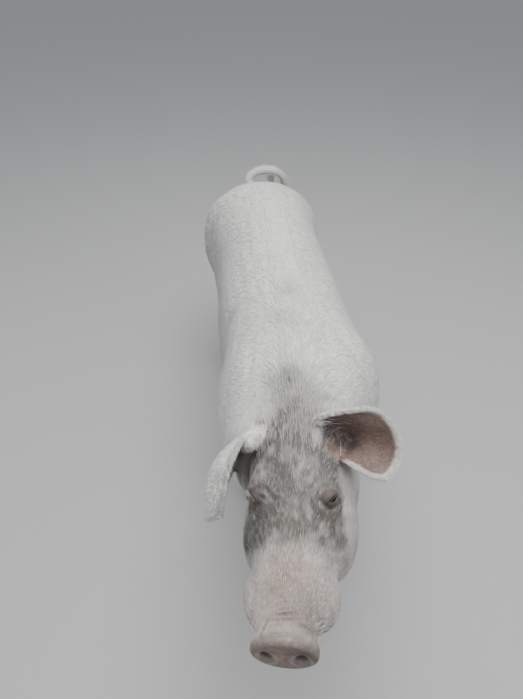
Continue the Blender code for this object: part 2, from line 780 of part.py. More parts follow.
def paint(pieces):
    """Gives each piece a material of its own and even shading."""
    for piece in pieces:
        finish = SKIN
        if "claw" in piece.name:
            finish = HORN
        if piece.name.startswith("eye"):
            finish = EYE
        if piece.name == "snout_disc":
            finish = PINK
        piece.data.materials.clear()
        piece.data.materials.append(material(piece.name + "_colour", finish))
        piece.data.shade_smooth()
        piece.data.set_sharp_from_angle(angle=math.radians(45.0))


def stand_on_origin(pieces):
    """Moves all pieces so that the middle of their box lies above the origin, with its floor at z = 0."""
    corners = [vert.co for piece in pieces for vert in piece.data.vertices]
    middle_x = 0.5 * (min(co.x for co in corners) + max(co.x for co in corners))
    middle_y = 0.5 * (min(co.y for co in corners) + max(co.y for co in corners))
    lowest = min(co.z for co in corners)
    for piece in pieces:
        piece.data.transform(Matrix.Translation((-middle_x, -middle_y, -lowest)))


def build():
    clear_scene()
    skins = [trunk(), *muscles(), *head_pieces()]
    skins.extend(leg_skin(leg) for leg in LEGS)
    whole = fuse("whole", skins, VOXEL, 3, SKIN_TRIANGLES)
    boolean(whole, [floor_block(CORONET)], "DIFFERENCE")

    place, normal = HEAD_CUT
    head = taken(whole, half_space("front", place, -normal, 0.5 * GAP), "head")
    boolean(whole, [half_space("front", place, -normal, -0.5 * GAP)], "DIFFERENCE")
    place, normal = NECK_CUT
    neck = taken(whole, half_space("front", place, -normal, 0.5 * GAP), "neck")
    boolean(whole, [half_space("front", place, -normal, -0.5 * GAP)], "DIFFERENCE")
    legs = [taken(whole, leg_block(leg, 0.0), leg) for leg in LEGS]
    boolean(whole, [leg_block(leg, GAP) for leg in LEGS], "DIFFERENCE")
    torso = add_teats(whole)
    torso.name = "torso"

    pieces = [torso, neck, head, *legs, snout_disc(), tail(torso)]
    head_cutter = grown(head, "head_cutter", GAP)
    pieces.extend(ear(name, head_cutter) for name in EARS)
    removed(head_cutter)
    pieces.extend(finish_head(head))
    for leg, skin in zip(LEGS, legs):
        leg_cutter = grown(skin, "leg_cutter", GAP)
        for place in ("inner", "outer"):
            pieces.append(claw(f"{leg}_{place}_claw", leg, place == "inner"))
            pieces.append(dewclaw(f"{leg}_{place}_dewclaw", leg, place == "inner", leg_cutter))
        removed(leg_cutter)
    stand_on_origin(pieces)
    paint(pieces)


build()
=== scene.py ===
import math

import bmesh
import bpy
import numpy as np
from mathutils import Matrix, Vector
from mathutils.bvhtree import BVHTree


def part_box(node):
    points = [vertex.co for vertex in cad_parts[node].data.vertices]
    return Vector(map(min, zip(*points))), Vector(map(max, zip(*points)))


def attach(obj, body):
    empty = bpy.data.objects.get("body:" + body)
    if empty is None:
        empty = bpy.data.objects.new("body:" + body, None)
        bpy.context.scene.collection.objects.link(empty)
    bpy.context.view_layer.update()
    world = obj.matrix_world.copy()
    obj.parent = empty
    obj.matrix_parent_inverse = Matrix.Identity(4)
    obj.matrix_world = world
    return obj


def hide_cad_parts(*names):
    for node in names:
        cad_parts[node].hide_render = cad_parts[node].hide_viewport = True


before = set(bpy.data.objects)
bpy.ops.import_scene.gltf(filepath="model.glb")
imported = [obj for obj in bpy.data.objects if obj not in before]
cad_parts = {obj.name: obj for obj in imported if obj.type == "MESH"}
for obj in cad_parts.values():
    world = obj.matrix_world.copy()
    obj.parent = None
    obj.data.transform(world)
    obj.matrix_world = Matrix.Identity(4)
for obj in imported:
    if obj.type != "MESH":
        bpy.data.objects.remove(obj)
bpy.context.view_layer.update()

# Viewpoint: a person's eye height in front of the sow, looking down at her raised head along her back.
# It is placed from her hind claws, which stand still however the rest of her is carried.
PHOTO_HEIGHT = 699
FOCAL_PIXELS = 560.0
CAMERA_PITCH = math.radians(40.0)
CAMERA_HEADING = math.radians(6.0)
CAMERA_AWAY = 1.7884
CAMERA_ASIDE = 0.2077
CAMERA_HEIGHT = 1.60
SENSOR = 36.0

claw_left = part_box("hindleg_left_inner_claw")
claw_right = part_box("hindleg_right_inner_claw")
stance_x = 0.5 * (claw_left[1].x + claw_right[0].x)
stance_y = claw_left[0].y
camera_data = bpy.data.cameras.new("camera")
camera_data.sensor_width = SENSOR
camera_data.lens = SENSOR * FOCAL_PIXELS / PHOTO_HEIGHT


def placed(name, data):
    """A new object of the scene, at the origin."""
    made = bpy.data.objects.new(name, data)
    bpy.context.scene.collection.objects.link(made)
    return made


camera = placed("camera", camera_data)
camera.matrix_world = (
    Matrix.Translation((stance_x - CAMERA_ASIDE, stance_y - CAMERA_AWAY, CAMERA_HEIGHT))
    @ Matrix.Rotation(-CAMERA_HEADING, 4, "Z")
    @ Matrix.Rotation(math.radians(90.0) - CAMERA_PITCH, 4, "X")
)
bpy.context.scene.camera = camera

# Studio: a plain pale floor under an even, overcast-like light from above, with a weaker side light.
# None of it belongs to the animal.
FLOOR_SIZE = 24.0
FLOOR_COLOUR = (0.46, 0.46, 0.46, 1.0)
SKY_COLOUR = (0.93, 0.96, 1.0, 1.0)
SKY_STRENGTH = 0.56


def principled(name, colour, roughness, specular):
    """A material with its plain values on the shader's own sockets, and its node tree to add to."""
    made = bpy.data.materials.new(name)
    made.use_nodes = True
    shader = made.node_tree.nodes["Principled BSDF"]
    shader.inputs["Base Color"].default_value = (*colour[:3], 1.0)
    shader.inputs["Roughness"].default_value = roughness
    shader.inputs["Specular IOR Level"].default_value = specular
    return made, made.node_tree, shader


def add_node(tree, kind, **values):
    """A new shader node, with its plain values given by the names of its inputs."""
    made = tree.nodes.new("ShaderNode" + kind)
    for name, value in values.items():
        made.inputs[name.replace("_", " ")].default_value = value
    return made


def join(tree, *links):
    """Joins nodes, each link given as a node, its output, the next node and its input."""
    for source, output, target, entry in links:
        tree.links.new(source.outputs[output], target.inputs[entry])


def mesh_of(name, shape):
    """A mesh with the shape of a bmesh, which is freed."""
    data = bpy.data.meshes.new(name)
    shape.to_mesh(data)
    shape.free()
    return data


def add_light(name, place, target, size, power, colour):
    light = bpy.data.lights.new(name, "AREA")
    light.shape = "DISK"
    light.size = size
    light.energy = power
    light.color = colour
    holder = placed(name, light)
    aim = (Vector(target) - Vector(place)).to_track_quat("-Z", "Y").to_matrix().to_4x4()
    holder.matrix_world = Matrix.Translation(place) @ aim


floor_mesh = bmesh.new()
bmesh.ops.create_grid(floor_mesh, x_segments=2, y_segments=2, size=0.5 * FLOOR_SIZE)
floor = placed("floor", mesh_of("floor", floor_mesh))
floor_finish, floor_tree, floor_shader = principled("floor_finish", FLOOR_COLOUR, 0.9, 0.2)
floor_noise = add_node(floor_tree, "TexNoise", Scale=3.0)
floor_bump = add_node(floor_tree, "Bump", Strength=0.03)
join(floor_tree, (floor_noise, "Fac", floor_bump, "Height"), (floor_bump, "Normal", floor_shader, "Normal"))
floor.data.materials.append(floor_finish)

world = bpy.data.worlds.new("studio")
world.use_nodes = True
world.node_tree.nodes["Background"].inputs["Color"].default_value = SKY_COLOUR
world.node_tree.nodes["Background"].inputs["Strength"].default_value = SKY_STRENGTH
bpy.context.scene.world = world
add_light("sky_panel", (0.1, -0.3, 3.5), (0.0, 0.0, 0.6), 2.6, 118.0, (1.0, 0.99, 0.97))
add_light("side_panel", (2.4, -1.8, 2.3), (0.0, -0.3, 0.6), 1.8, 19.0, (1.0, 0.98, 0.95))
add_light("fill_panel", (-2.5, -0.8, 2.1), (0.0, -0.2, 0.6), 2.0, 9.0, (0.97, 0.99, 1.0))

# Hide: one skin over head, trunk, legs, ears and tail, with no seams, as on the live animal.
# Copies of the solids are swelled a little so that they meet, melted together, smoothed, then carved
# with the folds and wrinkles of a grown sow's face, and drawn in to leave room for the bristles.
FLESH = (
    "torso", "neck", "head", "snout_disc", "ear_left", "ear_right", "tail",
    "foreleg_left", "foreleg_right", "hindleg_left", "hindleg_right",
)
# How far each solid is swelled, the melted skin's grain, its smoothing and the triangles it keeps
OVERLAP = 0.0004
HIDE_GRAIN = 0.0024
HIDE_TRIANGLES = 122000
SMOOTHING_ROUNDS = 220
# How strongly each part is smoothed: thin and finely shaped parts the least
SMOOTHING = {
    "torso": 1.0, "neck": 1.0, "head": 0.30, "snout_disc": 0.03, "ear_left": 0.06, "ear_right": 0.06,
    "tail": 0.05, "foreleg_left": 0.20, "foreleg_right": 0.20, "hindleg_left": 0.24, "hindleg_right": 0.24,
}
# How far the hide lies under the coat's surface, by part
COAT_DEPTH = {
    "torso": 0.0026, "neck": 0.0028, "head": 0.0014, "snout_disc": 0.0002, "ear_left": 0.0005,
    "ear_right": 0.0005, "tail": 0.0012, "foreleg_left": 0.0018, "foreleg_right": 0.0018,
    "hindleg_left": 0.0018, "hindleg_right": 0.0018,
}
# How freely each part's triangles are thinned out
THINNING = {"head": 0.55, "snout_disc": 0.30, "ear_left": 0.55, "ear_right": 0.55, "tail": 0.7}

# The sow's own frame: X to her left, Y back towards the rump, Z up from the floor
SOW_ORIGIN = np.array((stance_x, stance_y - 0.6384, 0.0))
# The head's own frame: its origin at the poll, -Y towards the snout, +X to her left
HEAD_PLACE = (
    Matrix.Translation(Vector(SOW_ORIGIN) + Vector((-0.061, -0.427, 0.804)))
    @ Matrix.Rotation(math.radians(-14.0), 4, "Z")
    @ Matrix.Rotation(math.radians(6.0), 4, "X")
    @ Matrix.Rotation(math.radians(-10.0), 4, "Y")
)
HEAD_TURN = np.array(HEAD_PLACE.to_3x3())
HEAD_ORIGIN = np.array(HEAD_PLACE.translation)

# Where the spine runs: along the sow, and how far to her left
SPINE = (
    (-0.44, -0.36, -0.27, -0.17, 0.06, 0.50, 0.85),
    (-0.074, -0.056, -0.030, -0.010, -0.007, -0.014, -0.012),
)
# Zones with a finer mesh, in the head's frame: centre, radius and longest edge
FINE_ZONES = (
    ((0.0640, -0.1450, -0.0290), 0.034, 0.0016), ((-0.0640, -0.1450, -0.0290), 0.034, 0.0016),
    ((0.0, -0.365, -0.080), 0.072, 0.0021), ((-0.045, -0.140, -0.015), 0.026, 0.0020),
    ((0.045, -0.140, -0.018), 0.022, 0.0020),
)
# The eyes, in the head's frame: their centres, the way the left one looks, and their radius
EYE_PLACES = ((0.0629, -0.1438, -0.0305), (-0.0629, -0.1438, -0.0305))
EYE_LOOK = (0.75, -0.50, 0.43)
EYE_RADIUS = 0.0135
# The lids: their thickness, half the slit's length, how far it opens up and down, its slant, and the
# power that rounds its outline
LID_THICKNESS = 0.0034
SLIT_HALF = 0.0112
SLIT_UP = 0.0046
SLIT_DOWN = 0.0050
SLIT_TURN = math.radians(48.0)
SLIT_POWER = 1.7
# How far the skin round each eye rises, and where, so that the lids lie in it
SOCKET_RISE = 0.0036
SOCKET_REACH = 0.026
SOCKET_WIDTH = 0.0085
# Teats: how far from the middle they stand, the first one's place, the step to the next, how many are
# in a row, their radii, where rays feel for the belly round each, and how far the skin swells there
TEAT_SIDE = 0.055
TEAT_FIRST = 0.145
TEAT_STEP = 0.061
TEAT_COUNT = 6
TEAT_RADII = (0.0095, 0.0095, 0.0180)
TEAT_FEELERS = (-0.004, 0.0, 0.004)
UDDER_SWELLING = 0.0060
# The left half of the mouth, from the front of the chin to its corner, in the head's frame
MOUTH_LINE = (
    (0.0, -0.345, -0.128), (0.036, -0.322, -0.134), (0.056, -0.260, -0.143), (0.070, -0.190, -0.152),
)

# Swellings and hollows of the sow's body, the same on both sides: centre, radii and height
SWELLINGS = (
    ((0.165, -0.130, 0.600), (0.070, 0.075, 0.120), 0.0080),
    ((0.130, -0.150, 0.740), (0.060, 0.060, 0.050), 0.0040),
    ((0.185, -0.010, 0.560), (0.060, 0.034, 0.150), -0.0070),
    ((0.160, -0.245, 0.600), (0.060, 0.030, 0.130), -0.0055),
    ((0.170, 0.480, 0.400), (0.060, 0.055, 0.070), -0.0110),
    ((0.165, 0.430, 0.700), (0.060, 0.060, 0.060), -0.0040),
    ((0.120, 0.500, 0.800), (0.035, 0.050, 0.040), 0.0035),
    ((0.165, 0.660, 0.560), (0.060, 0.080, 0.110), 0.0060),
    ((0.110, 0.000, 0.400), (0.050, 0.030, 0.060), -0.0090),
    ((0.000, 0.300, 0.810), (0.016, 0.260, 0.040), -0.0022),
    ((0.000, 0.850, 0.520), (0.016, 0.060, 0.120), -0.0120),
)
# Swellings and hollows of the head and of the raised ear's cup: centre, radii and height
HEAD_SWELLINGS = (
    ((0.042, -0.038, -0.002), (0.008, 0.022, 0.014), 0.0060),
    ((0.066, -0.028, -0.016), (0.016, 0.017, 0.020), -0.0130),
    ((0.070, -0.100, -0.040), (0.018, 0.022, 0.022), -0.0035),
    ((-0.070, -0.100, -0.040), (0.018, 0.022, 0.022), -0.0035),
    ((0.068, -0.205, -0.085), (0.020, 0.040, 0.018), -0.0030),
    ((-0.068, -0.190, -0.080), (0.018, 0.040, 0.020), -0.0045),
    ((0.0, -0.300, -0.045), (0.016, 0.060, 0.020), 0.0016),
    ((0.060, -0.296, -0.095), (0.022, 0.036, 0.040), 0.0055),
)

# Rounded swellings that close the hanging ear's root against the head: centre and radii, in the head's frame
EAR_ROOT_PADS = (
    ((-0.085, -0.022, -0.026), (0.020, 0.020, 0.026)), ((-0.096, -0.036, -0.018), (0.018, 0.020, 0.020)),
    ((-0.090, -0.008, -0.040), (0.020, 0.018, 0.022)),
)
# Under the tail, in the sow's frame: height, radii and how far the swelling stands out
UNDER_TAIL = ((0.640, (0.021, 0.018, 0.028), 0.0045), (0.606, (0.011, 0.014, 0.020), 0.0065))
UNDER_TAIL_X = -0.012
# The bare field under the tail: its middle and radii. On it lie a puckered ring and, lower, an upright cleft
BARE_FIELD = ((UNDER_TAIL_X, 0.84, 0.630), (0.030, 0.08, 0.056))
RING_MIDDLE = 0.646
RING_REACH = 0.0115
RING_WIDTH = 0.0050
RING_RISE = 0.0022
PUCKER_WIDTH = 0.0038
PUCKER_DEPTH = 0.0045
CLEFT_MIDDLE = 0.603
CLEFT_HALF = 0.016
CLEFT_WIDTH = 0.0022
CLEFT_DEPTH = 0.0048
LIP_ASIDE = 0.0062
LIP_WIDTH = 0.0032
LIP_RISE = 0.0026
# How far the skin swells where a dewclaw grows from it, and how far it hangs over the claws' upper edge
DEWCLAW_SEAT = 0.0085
CORONET_DROP = 0.0034

# Folds and wrinkles in the head's frame: width, depth and raised lip, then the line each follows
FOLDS = (
    (0.0022, 0.0030, 0.0010, ((-0.018, -0.342, -0.051), (0.008, -0.3373, -0.0495), (0.024, -0.333, -0.052))),
    (0.0024, 0.0010, 0.0005, ((-0.030, -0.349, -0.055), (0.009, -0.346, -0.050), (0.034, -0.342, -0.056))),
    (0.0020, 0.0009, 0.0004, ((-0.020, -0.335, -0.051), (0.006, -0.330, -0.050), (0.031, -0.327, -0.054))),
    (0.0024, 0.0005, 0.0003, ((-0.024, -0.322, -0.050), (0.004, -0.319, -0.048), (0.028, -0.317, -0.053))),
    (0.0030, 0.0024, 0.0012, ((-0.022, -0.343, -0.052), (-0.030, -0.358, -0.056), (-0.037, -0.374, -0.062))),
    (0.0030, 0.0024, 0.0012, ((0.028, -0.348, -0.055), (0.040, -0.353, -0.062), (0.051, -0.359, -0.076))),
    (0.0032, 0.0034, 0.0010, ((-0.040, -0.377, -0.064), (-0.008, -0.369, -0.050), (0.011, -0.368, -0.050),
                              (0.038, -0.368, -0.060))),
    (0.0040, 0.0020, 0.0012, ((-0.067, -0.131, -0.014), (-0.045, -0.144, -0.017), (-0.022, -0.166, -0.023))),
    (0.0038, 0.0014, 0.0010, ((-0.062, -0.149, -0.017), (-0.050, -0.154, -0.020), (-0.037, -0.163, -0.027))),
    (0.0036, 0.0010, 0.0008, ((-0.060, -0.118, -0.012), (-0.040, -0.128, -0.013), (-0.020, -0.146, -0.017))),
    (0.0034, 0.0020, 0.0012, ((0.062, -0.128, -0.018), (0.046, -0.140, -0.020), (0.030, -0.160, -0.026))),
    (0.0030, 0.0014, 0.0010, ((0.058, -0.116, -0.014), (0.038, -0.128, -0.014), (0.022, -0.146, -0.018))),
    (0.0026, 0.0016, 0.0010, ((0.066, -0.178, -0.058), (0.073, -0.189, -0.068), (0.084, -0.194, -0.080))),
)
# Folds that are the same on both sides: mouth and its corner, jowl, temple and the muzzle's sides
SIDE_FOLDS = (
    (0.0034, 0.0055, 0.0022, MOUTH_LINE),
    (0.0040, 0.0026, 0.0014, ((0.070, -0.200, -0.150), (0.077, -0.180, -0.142), (0.079, -0.162, -0.130))),
    (0.0090, 0.0050, 0.0030, ((0.098, 0.030, -0.070), (0.104, 0.024, -0.110), (0.096, 0.012, -0.160),
                              (0.070, 0.000, -0.200))),
    (0.0036, 0.0018, 0.0010, ((0.084, -0.150, -0.052), (0.088, -0.128, -0.050), (0.090, -0.106, -0.046))),
    (0.0034, 0.0016, 0.0010, ((0.080, -0.168, -0.062), (0.090, -0.150, -0.066), (0.095, -0.128, -0.064))),
    (0.0034, 0.0008, 0.0005, ((0.045, -0.352, -0.075), (0.050, -0.350, -0.095), (0.046, -0.350, -0.118))),
    (0.0034, 0.0006, 0.0004, ((0.049, -0.338, -0.074), (0.055, -0.336, -0.096), (0.050, -0.338, -0.122))),
)


def vertex_places(mesh):
    values = np.empty(len(mesh.vertices) * 3, np.float32)
    mesh.vertices.foreach_get("co", values)
    return values.reshape(-1, 3).astype(float)


def vertex_normals(mesh):
    values = np.empty(len(mesh.vertices) * 3, np.float32)
    mesh.vertex_normals.foreach_get("vector", values)
    return values.reshape(-1, 3).astype(float)


def move_vertices(mesh, places):
    mesh.vertices.foreach_set("co", places.astype(np.float32).ravel())
    mesh.update()


def unit(vectors):
    return vectors / np.maximum(np.linalg.norm(vectors, axis=-1, keepdims=True), 1e-9)


def in_head(points):
    """Points in the head's own frame."""
    return (points - HEAD_ORIGIN) @ HEAD_TURN


def from_head(points):
    """Points of the head's own frame in the sow's place."""
    return np.asarray(points) @ HEAD_TURN.T + HEAD_ORIGIN


def applied(obj):
    """Applies every modifier of an object."""
    bpy.context.view_layer.update()
    graph = bpy.context.evaluated_depsgraph_get()
    mesh = bpy.data.meshes.new_from_object(obj.evaluated_get(graph), depsgraph=graph)
    obj.modifiers.clear()
    obj.data = mesh
    return obj


def add_shape(joined, shape):
    """Adds a bmesh to another one and frees it."""
    copy = mesh_of("copy", shape)
    joined.from_mesh(copy)
    bpy.data.meshes.remove(copy)


def joined_flesh():
    """The flesh solids as one bmesh, each swelled to overlap its neighbours, and each face's owner."""
    joined = bmesh.new()
    owners = []
    for number, name in enumerate(FLESH):
        solid = bmesh.new()
        solid.from_mesh(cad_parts[name].data)
        bmesh.ops.remove_doubles(solid, verts=solid.verts, dist=0.00001)
        solid.normal_update()
        for vert in solid.verts:
            vert.co += vert.normal * OVERLAP
        owners.extend([number] * len(solid.faces))
        add_shape(joined, solid)
    for side in (1, -1):
        both_lids = lids(side)
        owners.extend([FLESH.index("head")] * len(both_lids.faces))
        add_shape(joined, both_lids)
    tree = BVHTree.FromBMesh(joined)
    for number in range(TEAT_COUNT):
        for side in (1, -1):
            y = TEAT_FIRST + number * TEAT_STEP
            x = np.interp(y, *SPINE) + side * TEAT_SIDE
            foot = Vector(SOW_ORIGIN) + Vector((x, y, 0.1))
            steps = [Vector((dx, dy, 0)) for dx in TEAT_FEELERS for dy in TEAT_FEELERS]
            hits = [tree.ray_cast(foot + step, Vector((0, 0, 1)))[0] for step in steps]
            tip = min(hit.z for hit in hits if hit)
            teat = bmesh.new()
            place = Matrix.Translation((foot.x, foot.y, tip + 0.8 * TEAT_RADII[2]))
            bmesh.ops.create_uvsphere(teat, u_segments=24, v_segments=16, radius=1.0,
                                      matrix=place @ Matrix.Diagonal((*TEAT_RADII, 1.0)))
            owners.extend([FLESH.index("torso")] * len(teat.faces))
            add_shape(joined, teat)
    pads = []
    for centre, radii in EAR_ROOT_PADS:
        pads.append((HEAD_PLACE @ Matrix.Translation(centre) @ Matrix.Diagonal((*radii, 1.0)), "ear_right"))
    for height, radii, out in UNDER_TAIL:
        start = Vector(SOW_ORIGIN) + Vector((UNDER_TAIL_X, 1.3, height))
        back = tree.ray_cast(start, Vector((0, -1, 0)))[0]
        middle = back + Vector((0.0, out - radii[1], 0.0))
        pads.append((Matrix.Translation(middle) @ Matrix.Diagonal((*radii, 1.0)), "torso"))
    for place, owner in pads:
        pad = bmesh.new()
        bmesh.ops.create_uvsphere(pad, u_segments=32, v_segments=20, radius=1.0, matrix=place)
        owners.extend([FLESH.index(owner)] * len(pad.faces))
        add_shape(joined, pad)
    return joined, owners


def nearest_parts(points, tree, owners):
    """The number of the flesh solid that each point lies nearest to."""
    return np.array([owners[tree.find_nearest(point)[2]] for point in points.tolist()])


def by_part(parts, shares, other):
    """One value for each point, from its part's entry."""
    return np.array([shares.get(name, other) for name in FLESH])[parts]


def spread(mesh, values, rounds):
    """Evens out values over the mesh by passing them along its edges."""
    edges = np.empty(len(mesh.edges) * 2, np.int32)
    mesh.edges.foreach_get("vertices", edges)
    ends = np.concatenate((edges[0::2], edges[1::2]))
    others = np.concatenate((edges[1::2], edges[0::2]))
    near = np.maximum(np.bincount(ends, minlength=len(mesh.vertices)), 1)
    flat = values.reshape(len(mesh.vertices), -1).astype(float)
    for _ in range(rounds):
        total = np.stack(
            [np.bincount(ends, weights=column[others], minlength=len(column)) for column in flat.T], axis=1
        )
        flat = 0.5 * flat + 0.5 * total / near[:, None]
    return flat.reshape(values.shape)


def grain(points, size, seed):
    """Smooth random values from -1 to 1 that change over about one size."""
    scaled = points / size + 31.7 * seed
    low = np.floor(scaled).astype(np.int64)
    part = scaled - low
    part = part * part * (3.0 - 2.0 * part)
    total = np.zeros(len(points))
    for corner in range(8):
        step = np.array([corner & 1, corner >> 1 & 1, corner >> 2 & 1])
        cell = low + step
        mixed = cell[:, 0] * 73856093 ^ cell[:, 1] * 19349663 ^ cell[:, 2] * 83492791 ^ seed * 15485863
        mixed = (mixed ^ mixed >> 13) * 1274126177 & 0xFFFFFFFF
        mixed = (mixed ^ mixed >> 15) * 668265263 & 0xFFFFFFFF
        value = (mixed >> 8 & 0xFFFF) / 32767.5 - 1.0
        total += value * np.prod(np.where(step, part, 1.0 - part), axis=1)
    return total


def soft_step(values, low, high):
    share = np.clip((values - low) / (high - low), 0.0, 1.0)
    return share * share * (3.0 - 2.0 * share)


def fold(points, normals, width, depth, lip, line):
    """How far each point moves out for a crease along a line with a raised lip on both sides."""
    line = np.array(line, float)
    best = np.full(len(points), 1.0)
    along = np.zeros(len(points))
    lengths = np.linalg.norm(np.diff(line, axis=0), axis=1)
    run = 0.0
    for start, end, length in zip(line[:-1], line[1:], lengths):
        away = points - start
        share = np.clip(away @ (end - start) / length**2, 0.0, 1.0)
        away -= share[:, None] * (end - start)
        lift = np.sum(away * normals, axis=1)
        away -= normals * lift[:, None]
        gap = np.linalg.norm(away, axis=1) + np.maximum(np.abs(lift) - 0.012, 0.0)
        closer = gap < best
        best[closer] = gap[closer]
        along[closer] = (run + share * length)[closer]
        run += length
    ends = np.sin(math.pi * np.clip(along / run, 0.02, 0.98)) ** 0.6
    beside = np.exp(-(((best - 2.1 * width) / width) ** 2))
    return ends * (lip * beside - depth * np.exp(-((best / width) ** 2)))


def blob(points, centre, radii):
    """1 at a centre, fading to 0 about two radii away."""
    return np.exp(-np.sum(((points - np.array(centre)) / np.array(radii)) ** 2, axis=1))


def away_from_line(points, line):
    """How far each point lies from a line of straight stretches."""
    line = np.array(line, float)
    best = np.full(len(points), 10.0)
    for start, end in zip(line[:-1], line[1:]):
        share = np.clip((points - start) @ (end - start) / np.sum((end - start) ** 2), 0.0, 1.0)
        best = np.minimum(best, np.linalg.norm(points - start - share[:, None] * (end - start), axis=1))
    return best


def mirrored(points):
    """Points with their sideways places made positive, for what is the same on both sides."""
    return points * np.array((-1.0, 1.0, 1.0)) * (points[:, :1] < 0) + points * (points[:, :1] >= 0)


def eye_axes(side):
    """The eye's centre, the way it looks, the way along its slit towards the snout, and up across it."""
    turn = HEAD_PLACE.to_3x3()
    look = (turn @ Vector((side * EYE_LOOK[0], *EYE_LOOK[1:]))).normalized()
    forward = turn @ Vector((0.0, -1.0, -0.22))
    along = (forward - look * forward.dot(look)).normalized()
    inward = turn @ Vector((-side, 0.0, 0.0))
    inward = (inward - look * inward.dot(look)).normalized()
    along = (along * math.cos(SLIT_TURN) + inward * math.sin(SLIT_TURN)).normalized()
    up = look.cross(along).normalized()
    if up.dot(turn @ Vector((0, 0, 1))) < 0:
        up = -up
    return HEAD_PLACE @ Vector(EYE_PLACES[0 if side > 0 else 1]), look, along, up


def slit_height(along, upper):
    """How far the slit opens up or down at a place along it."""
    opening = SLIT_UP if upper else SLIT_DOWN
    return opening * max(0.0, 1.0 - (abs(along) / SLIT_HALF) ** SLIT_POWER)


def lids(side):
    """Both lids as a shell over the eye's globe, with an almond-shaped slit."""
    centre, look, along, up = eye_axes(side)
    shell = bmesh.new()
    bmesh.ops.create_uvsphere(shell, u_segments=72, v_segments=60, radius=EYE_RADIUS + 0.0007)
    gone = []
    for face in shell.faces:
        middle = face.calc_center_median()
        height = slit_height(middle.x, middle.y > 0)
        if middle.z < 0.15 * EYE_RADIUS or (abs(middle.x) < SLIT_HALF and abs(middle.y) < height):
            gone.append(face)
    bmesh.ops.delete(shell, geom=gone, context="FACES")
    bmesh.ops.solidify(shell, geom=shell.faces, thickness=-LID_THICKNESS)
    axes = Matrix((along, up, look)).transposed().to_4x4()
    if axes.determinant() < 0:
        bmesh.ops.reverse_faces(shell, faces=shell.faces)
    bmesh.ops.transform(shell, matrix=Matrix.Translation(centre) @ axes, verts=shell.verts)
    bmesh.ops.recalc_face_normals(shell, faces=shell.faces)
    return shell


def on_teats(places, near, far):
    """1 within a distance of a teat's middle line, fading to 0 at another."""
    sow = places - SOW_ORIGIN
    aside = np.abs(np.abs(sow[:, 0] - np.interp(sow[:, 1], *SPINE)) - TEAT_SIDE)
    number = np.clip(np.round((sow[:, 1] - TEAT_FIRST) / TEAT_STEP), 0, TEAT_COUNT - 1)
    along = sow[:, 1] - TEAT_FIRST - number * TEAT_STEP
    return (1.0 - soft_step(np.hypot(aside, along), near, far)) * (sow[:, 2] < 0.36)


def under_tail(places, near, far):
    """1 in the bare field under the tail, fading to 0 between two shares of its size."""
    sow = places - SOW_ORIGIN
    away = np.linalg.norm((sow - np.array(BARE_FIELD[0])) / np.array(BARE_FIELD[1]), axis=1)
    return (1.0 - soft_step(away, near, far)) * (sow[:, 1] > 0.74)


def sharp_places(places):
    """1 where the hide's shape has to survive smoothing: lids, mouth, nostrils and teats."""
    head = in_head(places)
    keep = np.zeros(len(places))
    for centre in EYE_PLACES:
        keep = np.maximum(keep, 1.0 - soft_step(np.linalg.norm(head - centre, axis=1), 0.017, 0.034))
    keep = np.maximum(keep, 0.9 * (1.0 - soft_step(away_from_line(mirrored(head), MOUTH_LINE), 0.004, 0.012)))
    keep = np.maximum(keep, 0.8 * (1.0 - soft_step(head[:, 1], -0.385, -0.355)))
    keep = np.maximum(keep, 0.985 * on_teats(places, 0.012, 0.022))
    return np.maximum(keep, 0.975 * under_tail(places, 0.7, 1.1))


def weigh_each(obj, name, weights):
    """A vertex group that holds a weight for each vertex, to the nearest fiftieth."""
    group = obj.vertex_groups.new(name=name)
    levels = np.round(weights * 50).astype(int)
    for level in np.unique(levels):
        group.add(np.flatnonzero(levels == level).tolist(), level / 50, "REPLACE")


def cut_in_triangles(work):
    bmesh.ops.triangulate(work, faces=[face for face in work.faces if len(face.verts) > 3])


def refine(mesh, zones):
    """Splits the edges inside each zone until none is longer than the zone's finest edge."""
    work = bmesh.new()
    work.from_mesh(mesh)
    cut_in_triangles(work)
    for centre, radius, longest in zones:
        middle = Vector(from_head(centre))
        for _ in range(3):
            near = {vert for vert in work.verts if (vert.co - middle).length < radius}
            long_edges = [edge for edge in work.edges if edge.verts[0] in near and edge.verts[1] in near
                          and edge.calc_length() > longest]
            if not long_edges:
                break
            bmesh.ops.subdivide_edges(
                work, edges=long_edges, cuts=1, use_single_edge=True, use_grid_fill=True,
            )
            cut_in_triangles(work)
        near = [vert for vert in work.verts if (vert.co - middle).length < radius]
        for _ in range(2):
            bmesh.ops.smooth_vert(
                work, verts=near, factor=0.5, use_axis_x=True, use_axis_y=True, use_axis_z=True,
            )
    work.to_mesh(mesh)
    work.free()


flesh, flesh_owners = joined_flesh()
flesh_tree = BVHTree.FromBMesh(flesh)
hide = placed("hide", mesh_of("hide", flesh))
melt = hide.modifiers.new("melt", "REMESH")
melt.mode = "VOXEL"
melt.voxel_size = HIDE_GRAIN
applied(hide)
places = vertex_places(hide.data)
hide_parts = nearest_parts(places, flesh_tree, flesh_owners)
freedom = spread(hide.data, by_part(hide_parts, SMOOTHING, 1.0), 8) * (1.0 - sharp_places(places))
root_pads = blob(in_head(places), (-0.089, -0.022, -0.028), (0.026, 0.028, 0.030))
freedom = np.maximum(freedom, 0.30 * root_pads)
weigh_each(hide, "smoothing", freedom)
even = hide.modifiers.new("even", "SMOOTH")
even.factor = 0.5
even.iterations = SMOOTHING_ROUNDS
even.vertex_group = "smoothing"
applied(hide)
places = vertex_places(hide.data)
hide_parts = nearest_parts(places, flesh_tree, flesh_owners)
fine_skin = np.maximum(on_teats(places, 0.020, 0.030), under_tail(places, 0.9, 1.3))
weigh_each(hide, "thinning", np.minimum(by_part(hide_parts, THINNING, 1.0), 1.0 - 0.75 * fine_skin))
thin = hide.modifiers.new("thin", "DECIMATE")
hide.data.calc_loop_triangles()
